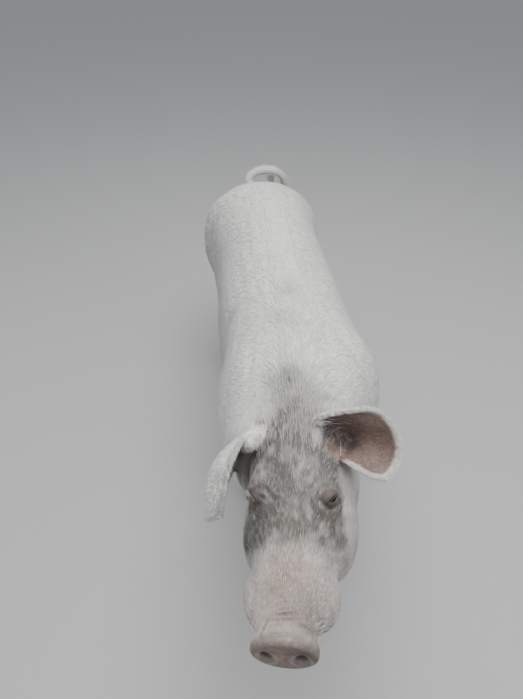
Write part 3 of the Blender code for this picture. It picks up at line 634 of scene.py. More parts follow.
thin.ratio = HIDE_TRIANGLES / len(hide.data.loop_triangles)
thin.vertex_group = "thinning"
applied(hide)
hide.vertex_groups.clear()
refine(hide.data, FINE_ZONES)
places = vertex_places(hide.data)
normals = vertex_normals(hide.data)
hide_parts = nearest_parts(places, flesh_tree, flesh_owners)
head_places = in_head(places)
head_normals = normals @ HEAD_TURN
pull = np.zeros(len(places))
sow_places = places - SOW_ORIGIN
sow_places[:, 0] -= np.interp(sow_places[:, 1], *SPINE)
on_body = spread(hide.data, by_part(hide_parts, {"torso": 1.0, "neck": 1.0}, 0.0), 2)
for centre, radii, height in SWELLINGS:
    pull += on_body * height * blob(mirrored(sow_places), centre, radii)
for number in range(TEAT_COUNT):
    udder = (TEAT_SIDE, TEAT_FIRST + number * TEAT_STEP, 0.315)
    pull += on_body * UDDER_SWELLING * blob(mirrored(sow_places), udder, (0.038, 0.024, 0.030))
for centre, radii, height in HEAD_SWELLINGS:
    pull += height * blob(head_places, centre, radii)
creases = np.zeros(len(places))
side_normals = head_normals * np.where(head_places[:, :1] < 0, np.array((-1.0, 1.0, 1.0)), 1.0)
for fold_places, fold_normals, folds in (
    (head_places, head_normals, FOLDS), (mirrored(head_places), side_normals, SIDE_FOLDS),
):
    for width, depth, lip, line in folds:
        low = np.min(line, axis=0) - 4.0 * width - 0.012
        high = np.max(line, axis=0) + 4.0 * width + 0.012
        near = np.flatnonzero(np.all((fold_places > low) & (fold_places < high), axis=1))
        rise = fold(fold_places[near], fold_normals[near], width, depth, lip, line)
        pull[near] += rise
        creases[near] = np.minimum(creases[near], rise / depth)
for centre in EYE_PLACES:
    gap = np.linalg.norm(head_places - np.array(centre), axis=1)
    pull += SOCKET_RISE * np.exp(-(((gap - SOCKET_REACH) / SOCKET_WIDTH) ** 2))
behind = soft_step(sow_places[:, 1], 0.76, 0.79)
upright = np.exp(-(((sow_places[:, 2] - CLEFT_MIDDLE) / CLEFT_HALF) ** 4))
cleft = behind * upright * np.exp(-((sow_places[:, 0] / CLEFT_WIDTH) ** 2))
lips = behind * upright * np.exp(-(((np.abs(sow_places[:, 0]) - LIP_ASIDE) / LIP_WIDTH) ** 2))
away = np.hypot(sow_places[:, 0], sow_places[:, 2] - RING_MIDDLE)
pucker = behind * np.exp(-((away / PUCKER_WIDTH) ** 2))
pull += LIP_RISE * lips - CLEFT_DEPTH * cleft - PUCKER_DEPTH * pucker
pull += RING_RISE * behind * np.exp(-(((away - RING_REACH) / RING_WIDTH) ** 2))
creases = np.minimum(creases, -2.0 * np.maximum(cleft, pucker))
sink = spread(hide.data, by_part(hide_parts, COAT_DEPTH, 0.002), 6)
for leg in FLESH[-4:]:
    for toe in ("inner", "outer"):
        low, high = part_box(f"{leg}_{toe}_dewclaw")
        seat = np.array((low + high) / 2) + np.array((0.0, -0.006, 0.010))
        pull += DEWCLAW_SEAT * np.exp(-(np.linalg.norm(places - seat, axis=1) / 0.019) ** 2)
moved = places + normals * (pull - sink)[:, None]
moved[:, 2] -= CORONET_DROP * (1.0 - soft_step(sow_places[:, 2], 0.040, 0.052))
move_vertices(hide.data, moved)
hide.data.shade_smooth()

# Colours of hide and coat: dried mud on the face and the neck's crest, and a few spots on the back,
# with painted shade low on the sides, down her right flank, in creases, in the ear's cleft and round the
# eyes, and painted light on the raised ear's upper lobe and on the ears' bristles.
# Each is worked out from a place's distance to blobs and bands, roughened by a seeded grain.
HIDE_COLOUR = (0.60, 0.515, 0.47)
COAT_COLOUR = (0.84, 0.835, 0.815)
# The dark colour that dried mud and painted shade both draw the hide and coat towards
MUD_AND_SHADE_COLOUR = (0.112, 0.108, 0.099)
# Bare or thinly haired places in the head's frame: centre, radii, strength and colour of the skin there
SKIN_SPOTS = (
    ((0.000, -0.280, -0.045), (0.042, 0.075, 0.045), 0.85, (0.255, 0.180, 0.150)),
    ((0.034, -0.325, -0.080), (0.032, 0.048, 0.055), 0.9, (0.165, 0.137, 0.130)),
    ((0.038, -0.392, -0.075), (0.022, 0.020, 0.030), 0.85, (0.088, 0.072, 0.064)),
    ((0.068, -0.165, -0.060), (0.020, 0.020, 0.022), 0.6, (0.36, 0.24, 0.21)),
    ((-0.070, -0.172, -0.056), (0.016, 0.022, 0.022), 0.5, (0.34, 0.25, 0.22)),
)
EAR_FOCUS = {"ear_left": (0.100, -0.095, 0.030), "ear_right": (-0.100, -0.075, -0.105)}
EAR_ROOTS = {"ear_left": (0.055, -0.030, -0.030), "ear_right": (-0.066, -0.016, -0.040)}
EAR_PINK = (0.165, 0.113, 0.095)
# Painted light on the upper lobe inside the raised ear, which faces down into shade: its middle, radii and
# colour
UPPER_LOBE_PAINTED_LIGHT = ((0.140, -0.010, 0.018), (0.036, 0.022, 0.017), (0.29, 0.21, 0.18))
# The funnel of the raised ear, in the head's frame: its middle and radii
FUNNEL = ((0.074, -0.036, -0.026), (0.034, 0.040, 0.036))
FUNNEL_COLOUR = (0.20, 0.145, 0.125)
# The ridge inside the funnel, and the way its front looks
FUNNEL_RIDGE = (0.089, -0.011, -0.044)
FUNNEL_FRONT = np.array((0.30, -0.81, 0.50))
# The edges that run down into the funnel, which are not free ones
FUNNEL_EDGE = (
    (0.084, -0.048, -0.030), (0.106, -0.024, -0.052), (0.093, -0.014, -0.049), (0.082, 0.001, -0.031),
)
# The cleft along the funnel's floor, and the painted shade that darkens it
CLEFT = ((0.050, -0.006, 0.000), (0.066, -0.016, -0.016), (0.080, -0.016, -0.032), (0.099, -0.022, -0.050))
CLEFT_SHADE_COLOUR = (0.090, 0.072, 0.066)
DISC_COLOUR = (0.185, 0.155, 0.138)
NOSTRILS = ((-0.026, -0.393, -0.092), (0.030, -0.393, -0.092))
# The lids' own dark skin together with the painted shade of the eye's hollow under the brow
LID_SKIN_AND_SHADE_COLOUR = (0.075, 0.058, 0.052)


def mud_and_shade(places):
    """How much each place is darkened by dried mud and, low on the sides and down her right flank, by painted
    shade, from 0 to 1.
    """
    sow = places - SOW_ORIGIN
    head = in_head(places)
    crest = np.exp(-(((sow[:, 0] + 0.062) / (0.034 + 0.30 * np.clip(-0.27 - sow[:, 1], 0.0, 0.2))) ** 2))
    mud_and_shade_cover = 0.84 * crest * soft_step(-sow[:, 1], 0.235, 0.30) * soft_step(sow[:, 2], 0.74, 0.78)
    mud_and_shade_cover *= soft_step(head[:, 1], -0.06, 0.0)
    mud_and_shade_cover += 0.35 * blob(head, (-0.034, 0.016, -0.006), (0.008, 0.007, 0.02))
    mud_and_shade_cover += 0.20 * blob(head, (-0.004, 0.022, 0.008), (0.032, 0.032, 0.03))
    face = soft_step(head[:, 1], -0.285, -0.200) * (1.0 - soft_step(head[:, 1], -0.010, 0.040))
    edge = 0.076 + 0.12 * np.clip(-0.10 - head[:, 1], 0.0, 0.2)
    face *= 1.0 - soft_step(np.abs(head[:, 0] + 0.004), edge, edge + 0.022)
    face *= soft_step(head[:, 2], -0.17, -0.10)
    dark = 0.95 + 0.05 * blob(head, (-0.005, -0.155, -0.02), (0.06, 0.05, 0.05))
    dark += 0.22 * blob(head, (-0.030, -0.122, -0.010), (0.024, 0.030, 0.03))
    dark += 0.06 * blob(head, (0.000, -0.205, -0.035), (0.045, 0.035, 0.05))
    cheeks = 0.50 * (1.0 - soft_step(head[:, 1], -0.08, 0.01)) * soft_step(head[:, 1], -0.31, -0.24)
    cheeks *= soft_step(head[:, 2], -0.20, -0.12)
    mud_and_shade_cover = np.maximum(mud_and_shade_cover, np.maximum(face * dark, cheeks))
    mud_and_shade_cover += 0.45 * soft_step(-head[:, 1], 0.25, 0.31) * soft_step(head[:, 2], -0.15, -0.09)
    mud_and_shade_cover += 0.28 * blob(sow, (-0.010, 0.032, 0.795), (0.030, 0.045, 0.05))
    mud_and_shade_cover += 0.16 * blob(sow, (-0.020, -0.090, 0.800), (0.032, 0.040, 0.05))
    mud_and_shade_cover += 0.24 * blob(sow, (-0.152, 0.052, 0.722), (0.022, 0.026, 0.03))
    mud_and_shade_cover += 0.45 * (1.0 - soft_step(sow[:, 2], 0.02, 0.20))
    # Painted shade, with some dirt: the sides darken downwards from the shoulders back
    mud_and_shade_cover += 0.14 * (1.0 - soft_step(sow[:, 2], 0.38, 0.68)) * soft_step(sow[:, 1], -0.42, -0.25)
    # Painted shade, with some brown dirt: her right flank, turned away from the light, darkens low down
    shaded_right_flank = soft_step(-sow[:, 0], 0.13, 0.19) * (1.0 - soft_step(sow[:, 2], 0.66, 0.76))
    mud_and_shade_cover += 0.26 * shaded_right_flank * soft_step(sow[:, 1], -0.20, -0.05) * soft_step(sow[:, 2], 0.30, 0.42)
    rough = 0.6 * grain(places, 0.010, 3) + 0.5 * grain(places, 0.026, 4) + 0.3 * grain(places, 0.0045, 5)
    mud_and_shade_cover *= 1.0 - 0.92 * blob(head, (0.104, -0.070, -0.090), (0.024, 0.050, 0.042))
    return np.clip(mud_and_shade_cover * (1.0 + 0.38 * rough), 0.0, 1.0)


def mixed(values, over, amount):
    """Colours or other rows of values, drawn towards others by an amount for each place."""
    return values * (1.0 - amount[:, None]) + np.array(over) * amount[:, None]


def ear_inside(places, normals, parts):
    """1 on the inner face of an ear and 0 elsewhere."""
    head = in_head(places)
    facing = normals @ HEAD_TURN
    inside = np.zeros(len(places))
    for name, focus in EAR_FOCUS.items():
        towards = unit(np.array(focus) - head)
        turned = soft_step(np.sum(facing * towards, axis=1), -0.1, 0.3)
        inside = np.where(parts == FLESH.index(name), turned, inside)
    ridge = 2.0 * blob(head, FUNNEL_RIDGE, (0.018, 0.018, 0.018))
    ridge *= soft_step(facing @ FUNNEL_FRONT, -0.3, 0.1)
    return np.maximum(inside, ridge.clip(0.0, 1.0) * (parts == FLESH.index("ear_left")))


def off_ears(parts):
    """0 on the ears, which stay clean, and 1 elsewhere."""
    return 1.0 - np.isin(parts, [FLESH.index("ear_left"), FLESH.index("ear_right")]).astype(float)


def near_rims(places, normals, parts):
    """1 along the free edges of both ears, fading to 0 about a centimetre away."""
    head = in_head(places)
    facing = normals @ HEAD_TURN
    near = np.zeros(len(places))
    for name, focus in EAR_FOCUS.items():
        mine = np.flatnonzero(parts == FLESH.index(name))
        towards = unit(np.array(focus) - head[mine])
        edge = np.abs(np.sum(facing[mine] * towards, axis=1)) < 0.35
        edge &= np.linalg.norm(head[mine] - np.array(EAR_ROOTS[name]), axis=1) > 0.045
        gaps = np.linalg.norm(head[mine][:, None] - head[mine][edge][None], axis=2).min(axis=1)
        near[mine] = 1.0 - soft_step(gaps, 0.0035, 0.0115)
    return near * soft_step(away_from_line(head, FUNNEL_EDGE), 0.024, 0.036)


def bare_places(places):
    """1 on the teats and under the tail, where the pink skin shows."""
    return np.maximum(on_teats(places, 0.016, 0.025), under_tail(places, 0.8, 1.15))


def in_funnel(places):
    """1 inside the funnel of the raised ear, and 1 along the cleft on its floor."""
    head = in_head(places)
    away = np.linalg.norm((head - np.array(FUNNEL[0])) / np.array(FUNNEL[1]), axis=1)
    inside = 1.0 - soft_step(away, 0.75, 1.05)
    inside = np.maximum(inside, (2.0 * blob(head, FUNNEL_RIDGE, (0.017, 0.017, 0.017))).clip(0.0, 1.0))
    cleft = 1.0 - soft_step(away_from_line(head, CLEFT), 0.008, 0.023)
    return inside, cleft


def skin_colours(places, normals, parts):
    head = in_head(places)
    colours = mixed(np.tile(HIDE_COLOUR, (len(places), 1)), MUD_AND_SHADE_COLOUR, mud_and_shade(places) * off_ears(parts))
    disc = 1.0 - soft_step(head[:, 1], -0.382, -0.369)
    middle = blob(head, (0.004, -0.39, -0.085), (0.020, 0.05, 0.035))
    colours = mixed(colours, DISC_COLOUR, disc)
    colours = mixed(colours, (0.260, 0.170, 0.138), disc * 0.8 * middle)
    for centre, radii, strength, colour in SKIN_SPOTS:
        colours = mixed(colours, colour, strength * blob(head, centre, radii))
    inside, cleft = in_funnel(places)
    inner = ear_inside(places, normals, parts)
    colours = mixed(colours, FUNNEL_COLOUR, inside * (parts != FLESH.index("ear_left")))
    outer = np.maximum(1.0 - off_ears(parts), parts == FLESH.index("tail"))
    colours = mixed(colours, COAT_COLOUR, 0.6 * outer * (1.0 - inner))
    colours = mixed(colours, EAR_PINK, inner)
    # Painted light: the raised ear's upper lobe is made paler where it faces down into shade
    colours = mixed(colours, UPPER_LOBE_PAINTED_LIGHT[2], 0.8 * inner * blob(head, *UPPER_LOBE_PAINTED_LIGHT[:2]))
    # Painted shade in the cleft of the raised ear's funnel
    colours = mixed(colours, CLEFT_SHADE_COLOUR, 0.95 * cleft * np.maximum(inner, inside))
    colours = mixed(colours, (0.70, 0.67, 0.64), 0.9 * near_rims(places, normals, parts))
    rough = grain(places, 0.006, 9) + 1.6 * disc * grain(places, 0.0035, 14)
    colours = colours * (1.0 + 0.10 * rough + 0.08 * grain(places, 0.02, 10))[:, None]
    colours = mixed(colours, (0.50, 0.33, 0.29), 0.75 * bare_places(places))
    for centre in NOSTRILS:
        gap = np.linalg.norm((head - np.array(centre)) / np.array((1.0, 1.6, 1.0)), axis=1)
        colours = mixed(colours, (0.36, 0.30, 0.275), 0.6 * np.exp(-(((gap - 0.0165) / 0.0035) ** 2)) * disc)
        colours = mixed(colours, (0.17, 0.145, 0.135), 1.0 - soft_step(gap, 0.0085, 0.0125))
    # Painted shade, with the lids' own dark skin: the skin round each eye is darkened as if in the brow's
    # shade
    for centre in EYE_PLACES:
        gap = np.linalg.norm(head - np.array(centre), axis=1)
        colours = mixed(colours, LID_SKIN_AND_SHADE_COLOUR, 0.85 * (1.0 - soft_step(gap, 0.0165, 0.0225)))
    return colours.clip(0.0, 1.0)


places = vertex_places(hide.data)
hide_parts = nearest_parts(places, flesh_tree, flesh_owners)
tint = skin_colours(places, vertex_normals(hide.data), hide_parts)
# Painted shade: the hide is darkened in its folds and wrinkles and in the clefts under the tail
tint *= (1.0 - 0.28 * np.clip(-creases, 0.0, 2.0))[:, None]
marking = hide.data.color_attributes.new("marking", "FLOAT_COLOR", "POINT")
marking.data.foreach_set("color", np.column_stack((tint, np.ones(len(tint)))).astype(np.float32).ravel())
hide_finish, hide_tree, hide_shader = principled("hide_finish", HIDE_COLOUR, 0.55, 0.4)
hide_marking = add_node(hide_tree, "Attribute")
hide_marking.attribute_name = "marking"
hide_place = add_node(hide_tree, "TexCoord")
hide_mottle = add_node(hide_tree, "TexNoise", Scale=130.0, Detail=4.0)
hide_range = add_node(hide_tree, "MapRange", From_Min=0.3, From_Max=0.7, To_Min=0.82, To_Max=1.12)
hide_mix = add_node(hide_tree, "VectorMath")
hide_mix.operation = "MULTIPLY"
hide_cells = add_node(hide_tree, "TexVoronoi", Scale=620.0)
hide_wrinkles = add_node(hide_tree, "TexNoise", Scale=260.0, Detail=6.0)
hide_grain = add_node(hide_tree, "Math")
hide_grain.operation = "ADD"
hide_bump = add_node(hide_tree, "Bump", Strength=0.35, Distance=0.0012)
for texture in (hide_mottle, hide_cells, hide_wrinkles):
    join(hide_tree, (hide_place, "Object", texture, "Vector"))
join(
    hide_tree,
    (hide_mottle, "Fac", hide_range, "Value"), (hide_marking, "Color", hide_mix, 0),
    (hide_range, "Result", hide_mix, 1), (hide_mix, "Vector", hide_shader, "Base Color"),
    (hide_cells, "Distance", hide_grain, 0), (hide_wrinkles, "Fac", hide_grain, 1),
    (hide_grain, "Value", hide_bump, "Height"), (hide_bump, "Normal", hide_shader, "Normal"),
)
hide.data.materials.clear()
hide.data.materials.append(hide_finish)
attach(hide, "root")
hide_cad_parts(*FLESH)

# Lid margins: the bare, dark pink edge round each slit, a soft roll of skin that lies on the eye.
# Each is a closed roll along the almond of the slit, half sunk in the lids, and grows with them.
MARGIN_RADIUS = 0.0013
MARGIN_STEPS = 40


def lid_margin(name, side):
    centre, look, along, up = eye_axes(side)
    curve = bpy.data.curves.new(name, "CURVE")
    curve.dimensions = "3D"
    curve.bevel_depth = MARGIN_RADIUS
    curve.bevel_resolution = 3
    line = curve.splines.new("POLY")
    line.points.add(MARGIN_STEPS - 1)
    line.use_cyclic_u = True
    for step, point in enumerate(line.points):
        turn = 2 * math.pi * step / MARGIN_STEPS
        reach = (SLIT_HALF + 0.0004) * math.cos(turn)
        height = slit_height(reach, math.sin(turn) > 0) * (1 if math.sin(turn) > 0 else -1)
        out = math.sqrt((EYE_RADIUS + 0.0016) ** 2 - reach**2 - height**2)
        point.co = (*(centre + along * reach + up * height + look * out), 1.0)
    holder = placed(name, curve)
    graph = bpy.context.evaluated_depsgraph_get()
    data = bpy.data.meshes.new_from_object(holder.evaluated_get(graph))
    bpy.data.objects.remove(holder)
    data.name = name
    data.shade_smooth()
    return placed(name, data)


def add_ramp(tree, *stops):
    """A colour ramp with a colour at each place along it."""
    made = add_node(tree, "ValToRGB")
    for element, (position, colour) in zip(made.color_ramp.elements, (stops[0], stops[-1])):
        element.position = position
        element.color = (*colour, 1.0)
    for position, colour in stops[1:-1]:
        made.color_ramp.elements.new(position).color = (*colour, 1.0)
    return made


margin_finish, margin_tree, margin_shader = principled("margin_finish", (0.115, 0.080, 0.070), 0.30, 0.5)
margin_place = add_node(margin_tree, "TexCoord")
margin_noise = add_node(margin_tree, "TexNoise", Scale=420.0)
margin_ramp = add_ramp(margin_tree, (0.0, (0.055, 0.040, 0.036)), (1.0, (0.19, 0.13, 0.115)))
margin_bump = add_node(margin_tree, "Bump", Strength=0.3, Distance=0.0005)
join(
    margin_tree,
    (margin_place, "Object", margin_noise, "Vector"), (margin_noise, "Fac", margin_ramp, "Fac"),
    (margin_ramp, "Color", margin_shader, "Base Color"), (margin_noise, "Fac", margin_bump, "Height"),
    (margin_bump, "Normal", margin_shader, "Normal"),
)
for margin_name, margin_side in (("lid_margin_left", 1), ("lid_margin_right", -1)):
    margin = lid_margin(margin_name, margin_side)
    margin.data.materials.append(margin_finish)
    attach(margin, "root")

# Eyes: small brown globes, wet and dark, set deep between the lids.
# Each is a ball with a slightly bulging cornea; its own map runs from the pupil outwards.
CORNEA_BULGE = 0.0009
CORNEA_ANGLE = 0.62


def eyeball(name, node, side):
    low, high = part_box(node)
    look = HEAD_PLACE.to_3x3() @ Vector((side * EYE_LOOK[0], *EYE_LOOK[1:]))
    ball = bmesh.new()
    bmesh.ops.create_uvsphere(ball, u_segments=48, v_segments=32, radius=EYE_RADIUS)
    map_layer = ball.loops.layers.uv.new("EyeMap")
    for face in ball.faces:
        middle = face.calc_center_median()
        for loop in face.loops:
            turn = math.atan2(loop.vert.co.y, loop.vert.co.x)
            centre_turn = math.atan2(middle.y, middle.x)
            if turn - centre_turn > math.pi:
                turn -= 2 * math.pi
            if centre_turn - turn > math.pi:
                turn += 2 * math.pi
            polar = math.acos(max(-1.0, min(1.0, loop.vert.co.z / EYE_RADIUS)))
            loop[map_layer].uv = (polar / math.pi, 0.5 + turn / (2 * math.pi))
    for vert in ball.verts:
        polar = math.acos(max(-1.0, min(1.0, vert.co.z / EYE_RADIUS)))
        bulge = max(0.0, math.cos(min(polar / CORNEA_ANGLE, math.pi / 2)))
        vert.co *= 1.0 + CORNEA_BULGE / EYE_RADIUS * bulge
    turned = look.to_track_quat("Z", "Y").to_matrix().to_4x4()
    bmesh.ops.transform(ball, matrix=Matrix.Translation((low + high) / 2) @ turned, verts=ball.verts)
    made = placed(name, mesh_of(name, ball))
    made.data.shade_smooth()
    return made


eye_finish, eye_tree, eye_shader = principled("eye_finish", (0.05, 0.03, 0.02), 0.10, 0.35)
eye_map = add_node(eye_tree, "UVMap")
eye_map.uv_map = "EyeMap"
eye_split = add_node(eye_tree, "SeparateXYZ")
# From the pupil outwards: pupil, iris, its dark rim and the white
eye_rings = add_ramp(
    eye_tree, (0.0, (0.004, 0.004, 0.005)), (0.085, (0.004, 0.004, 0.005)), (0.10, (0.022, 0.013, 0.007)),
    (0.165, (0.042, 0.024, 0.012)), (0.21, (0.010, 0.007, 0.005)), (0.25, (0.06, 0.045, 0.038)),
    (0.30, (0.45, 0.38, 0.33)),
)
join(
    eye_tree,
    (eye_map, "UV", eye_split, "Vector"), (eye_split, "X", eye_rings, "Fac"),
    (eye_rings, "Color", eye_shader, "Base Color"),
)
for eye_name, eye_node, eye_side in (("eyeball_left", "eye_left", 1), ("eyeball_right", "eye_right", -1)):
    eye = eyeball(eye_name, eye_node, eye_side)
    eye.data.materials.append(eye_finish)
    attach(eye, "root")
    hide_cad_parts(eye_node)

# Claws: two horn claws and two dewclaws on each foot, greyish tan, ringed as they grow down from the skin.
# Each is a rounded copy of its solid, with the rings raised on it.
RING_SPACING = 0.0052
RING_HEIGHT = 0.00035


def claw(name, node):
    solid = bmesh.new()
    solid.from_mesh(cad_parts[node].data)
    bmesh.ops.remove_doubles(solid, verts=solid.verts, dist=0.00001)
    bmesh.ops.join_triangles(solid, faces=solid.faces, angle_face_threshold=0.3, angle_shape_threshold=3.0)
    made = placed(name, mesh_of(name, solid))
    rounding = made.modifiers.new("rounding", "BEVEL")
    rounding.width = 0.0018
    rounding.segments = 2
    rounding.limit_method = "ANGLE"
    rounding.angle_limit = math.radians(50.0)
    fine = made.modifiers.new("fine", "SUBSURF")
    fine.subdivision_type = "SIMPLE"
    fine.levels = 2
    fine.render_levels = 2
    soften = made.modifiers.new("soften", "SMOOTH")
    soften.factor = 0.5
    soften.iterations = 5
    applied(made)
    places = vertex_places(made.data)
    normals = vertex_normals(made.data)
    height = places[:, 2] + 0.0015 * grain(places, 0.02, 21)
    rings = np.sin(2 * math.pi * height / RING_SPACING) + 0.6 * grain(places, 0.004, 22)
    level = np.abs(normals[:, 2]) < 0.8
    move_vertices(made.data, places + normals * (RING_HEIGHT * rings * level)[:, None])
    made.data.shade_smooth()
    return made


horn_finish, horn_tree, horn_shader = principled("horn_finish", (0.33, 0.28, 0.22), 0.42, 0.5)
horn_place = add_node(horn_tree, "TexCoord")
horn_streaks = add_node(horn_tree, "TexNoise", Scale=220.0, Detail=5.0)
horn_squeeze = add_node(horn_tree, "Mapping", Scale=(1.0, 1.0, 0.22))
horn_ramp = add_ramp(horn_tree, (0.30, (0.13, 0.105, 0.08)), (0.72, (0.42, 0.35, 0.27)))
horn_bump = add_node(horn_tree, "Bump", Strength=0.25, Distance=0.0006)
join(
    horn_tree,
    (horn_place, "Object", horn_squeeze, "Vector"), (horn_squeeze, "Vector", horn_streaks, "Vector"),
    (horn_streaks, "Fac", horn_ramp, "Fac"), (horn_ramp, "Color", horn_shader, "Base Color"),
    (horn_streaks, "Fac", horn_bump, "Height"), (horn_bump, "Normal", horn_shader, "Normal"),
)
for leg in ("foreleg_left", "foreleg_right", "hindleg_left", "hindleg_right"):
    for toe in ("inner_claw", "outer_claw", "inner_dewclaw", "outer_dewclaw"):
        horn = claw(f"{leg}_{toe}_horn", f"{leg}_{toe}")
        horn.data.materials.append(horn_finish)
        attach(horn, "root")
        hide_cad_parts(f"{leg}_{toe}")

# Coat: short white bristles that lie flat, back along the spine and down the sides, with longer ones on
# the neck's crest, the rims of the ears and the tail. Each is a thin closed spike rooted in the hide.
COAT_SEED = 20
BRISTLE_SINK = 0.0004
SAG_SHARE = 0.35
BRISTLE_THICKNESS = 0.55
ROOT_SHADE = 0.12
NORMAL_SHARE = 0.65
PATCH = 0.003
# How far a tip may move to lie at its own height over the hide, the least and most height, and the
# lift from which a bristle stands up and stays as it is
SETTLE_MOVE = (-0.002, 0.008)
SETTLE_HEIGHT = (0.0012, 0.010)
STANDING_LIFT = 0.42
# How much of the bulge over a flat triangle a root rises by, and the most it rises
ROOT_RISE = 0.75
MOST_RISE = 0.003
# Bristles on a square centimetre, their length, width and lift off the hide
ON_TRUNK = (14.0, 0.0245, 0.0016, 0.17)
ON_BELLY = (5.0, 0.0160, 0.0014, 0.20)
ON_FOOT = (17.0, 0.0090, 0.0008, 0.15)
ON_FACE = (25.0, 0.0095, 0.0009, 0.25)
ON_SNOUT = (10.0, 0.0050, 0.0007, 0.28)
ON_EAR = (20.0, 0.0105, 0.0010, 0.24)
IN_EAR = (2.4, 0.0060, 0.0006, 0.25)
ON_RIM = (42.0, 0.0120, 0.0010, 0.55)
ON_TAIL = (20.0, 0.0130, 0.0010, 0.30)
# What the coat's lie follows: the whorl on the back, the line of the tail and the ears' tips
WHORL = (-0.010, 0.032, 0.795)
TAIL_LINE = (
    (0.000, 0.770, 0.680), (-0.012, 0.824, 0.696), (-0.034, 0.852, 0.714), (-0.043, 0.862, 0.742),
    (-0.016, 0.862, 0.767), (0.030, 0.862, 0.774), (0.072, 0.864, 0.757), (0.092, 0.870, 0.722),
    (0.078, 0.882, 0.690), (0.050, 0.888, 0.694), (0.044, 0.880, 0.728),
)
EAR_TIPS = {"ear_left": (0.176, -0.072, -0.016), "ear_right": (-0.170, -0.140, -0.128)}
# Longer bristles: whose frame, centre, radii, how many, their length, width and lift, and their colour
TUFTS = (
    ("head", (0.000, 0.000, 0.010), (0.034, 0.045, 0.030), 420, 0.020, 0.0010, 0.40, (0.66, 0.65, 0.62)),
    ("head", (0.037, -0.026, 0.001), (0.006, 0.022, 0.012), 520, 0.015, 0.0010, 0.55, (0.88, 0.87, 0.85)),
    ("head", (-0.064, -0.004, -0.024), (0.016, 0.026, 0.018), 300, 0.015, 0.0010, 0.40, (0.80, 0.79, 0.77)),
    ("sow", (-0.045, -0.330, 0.800), (0.040, 0.090, 0.040), 700, 0.030, 0.0012, 0.30, (0.74, 0.73, 0.71)),
    ("sow", (-0.012, -0.120, 0.830), (0.030, 0.120, 0.040), 600, 0.030, 0.0012, 0.26, (0.84, 0.83, 0.81)),
    ("sow", (0.048, 0.882, 0.716), (0.012, 0.012, 0.020), 160, 0.042, 0.0011, 0.35, (0.78, 0.74, 0.70)),
    ("sow", (0.086, 0.874, 0.715), (0.020, 0.018, 0.035), 180, 0.026, 0.0010, 0.50, (0.78, 0.75, 0.71)),
    ("sow", (0.020, 0.862, 0.765), (0.060, 0.016, 0.022), 260, 0.017, 0.0009, 0.55, (0.78, 0.75, 0.71)),
    ("head", (-0.160, -0.140, -0.115), (0.018, 0.016, 0.020), 200, 0.020, 0.0009, 0.45, (0.84, 0.83, 0.81)),
    ("head", (0.000, -0.330, -0.150), (0.040, 0.030, 0.016), 160, 0.014, 0.0007, 0.80, (0.74, 0.71, 0.68)),
    ("head", (0.000, -0.220, -0.175), (0.060, 0.070, 0.020), 260, 0.016, 0.0008, 0.60, (0.80, 0.78, 0.75)),
    ("head", (0.052, -0.315, -0.090), (0.012, 0.030, 0.030), 160, 0.011, 0.0006, 0.75, (0.80, 0.78, 0.76)),
    ("head", (-0.052, -0.315, -0.090), (0.012, 0.030, 0.030), 160, 0.011, 0.0006, 0.75, (0.80, 0.78, 0.76)),
    ("head", (0.055, -0.128, -0.012), (0.014, 0.010, 0.008), 70, 0.012, 0.0007, 0.60, (0.52, 0.50, 0.47)),
    ("head", (-0.055, -0.128, -0.012), (0.014, 0.010, 0.008), 70, 0.012, 0.0007, 0.60, (0.52, 0.50, 0.47)),
    ("sow", (0.000, 0.300, 0.330), (0.090, 0.200, 0.030), 200, 0.018, 0.0010, 0.50, (0.82, 0.79, 0.76)),
    ("sow", (-0.012, 0.850, 0.500), (0.040, 0.030, 0.080), 200, 0.024, 0.0011, 0.50, (0.80, 0.77, 0.74)),
)


def coat_settings(places, normals, parts):
    """How dense, long, wide and lifted the bristles are at each place."""
    sow = places - SOW_ORIGIN
    head = in_head(places)
    on_trunk = np.isin(parts, [FLESH.index("torso"), FLESH.index("neck")])
    settings = mixed(np.array(ON_FOOT), ON_TRUNK, soft_step(sow[:, 2], 0.08, 0.50))
    settings = mixed(settings, ON_BELLY, soft_step(-normals[:, 2], 0.5, 0.8) * on_trunk)
    settings = mixed(settings, ON_FACE, 1.0 - soft_step(head[:, 1], -0.07, 0.08))
    settings = mixed(settings, ON_SNOUT, soft_step(-head[:, 1], 0.23, 0.32))
    bridge = soft_step(-head[:, 1], 0.21, 0.27) * soft_step(normals[:, 2], 0.45, 0.8)
    settings[:, 0] *= 1.0 - 0.6 * bridge
    ears = mixed(np.array(ON_EAR), IN_EAR, ear_inside(places, normals, parts))
    settings = mixed(settings, ears, 1.0 - off_ears(parts))
    settings = mixed(settings, ON_RIM, near_rims(places, normals, parts))
    settings[parts == FLESH.index("tail")] = ON_TAIL
    for centre in EYE_PLACES:
        gap = np.linalg.norm(head - np.array(centre), axis=1)
        settings[:, 0] *= soft_step(gap, 0.0170, 0.0215)
        settings[:, 1] *= 0.5 + 0.5 * soft_step(gap, 0.018, 0.034)
    funnel, cleft = in_funnel(places)
    off_flap = funnel * (parts != FLESH.index("ear_left"))
    settings[:, 0] *= 1.0 - 0.80 * np.maximum(off_flap, cleft)
    settings[:, 1] *= 1.0 - 0.35 * off_flap
    settings[:, 0] *= soft_step(head[:, 1], -0.374, -0.360)
    settings[:, 0] *= 1.0 - bare_places(places)
    behind = blob(sow, (UNDER_TAIL_X, 0.84, 0.660), (0.045, 0.08, 0.075))
    settings[:, 1] *= 1.0 - 0.60 * behind
    return settings


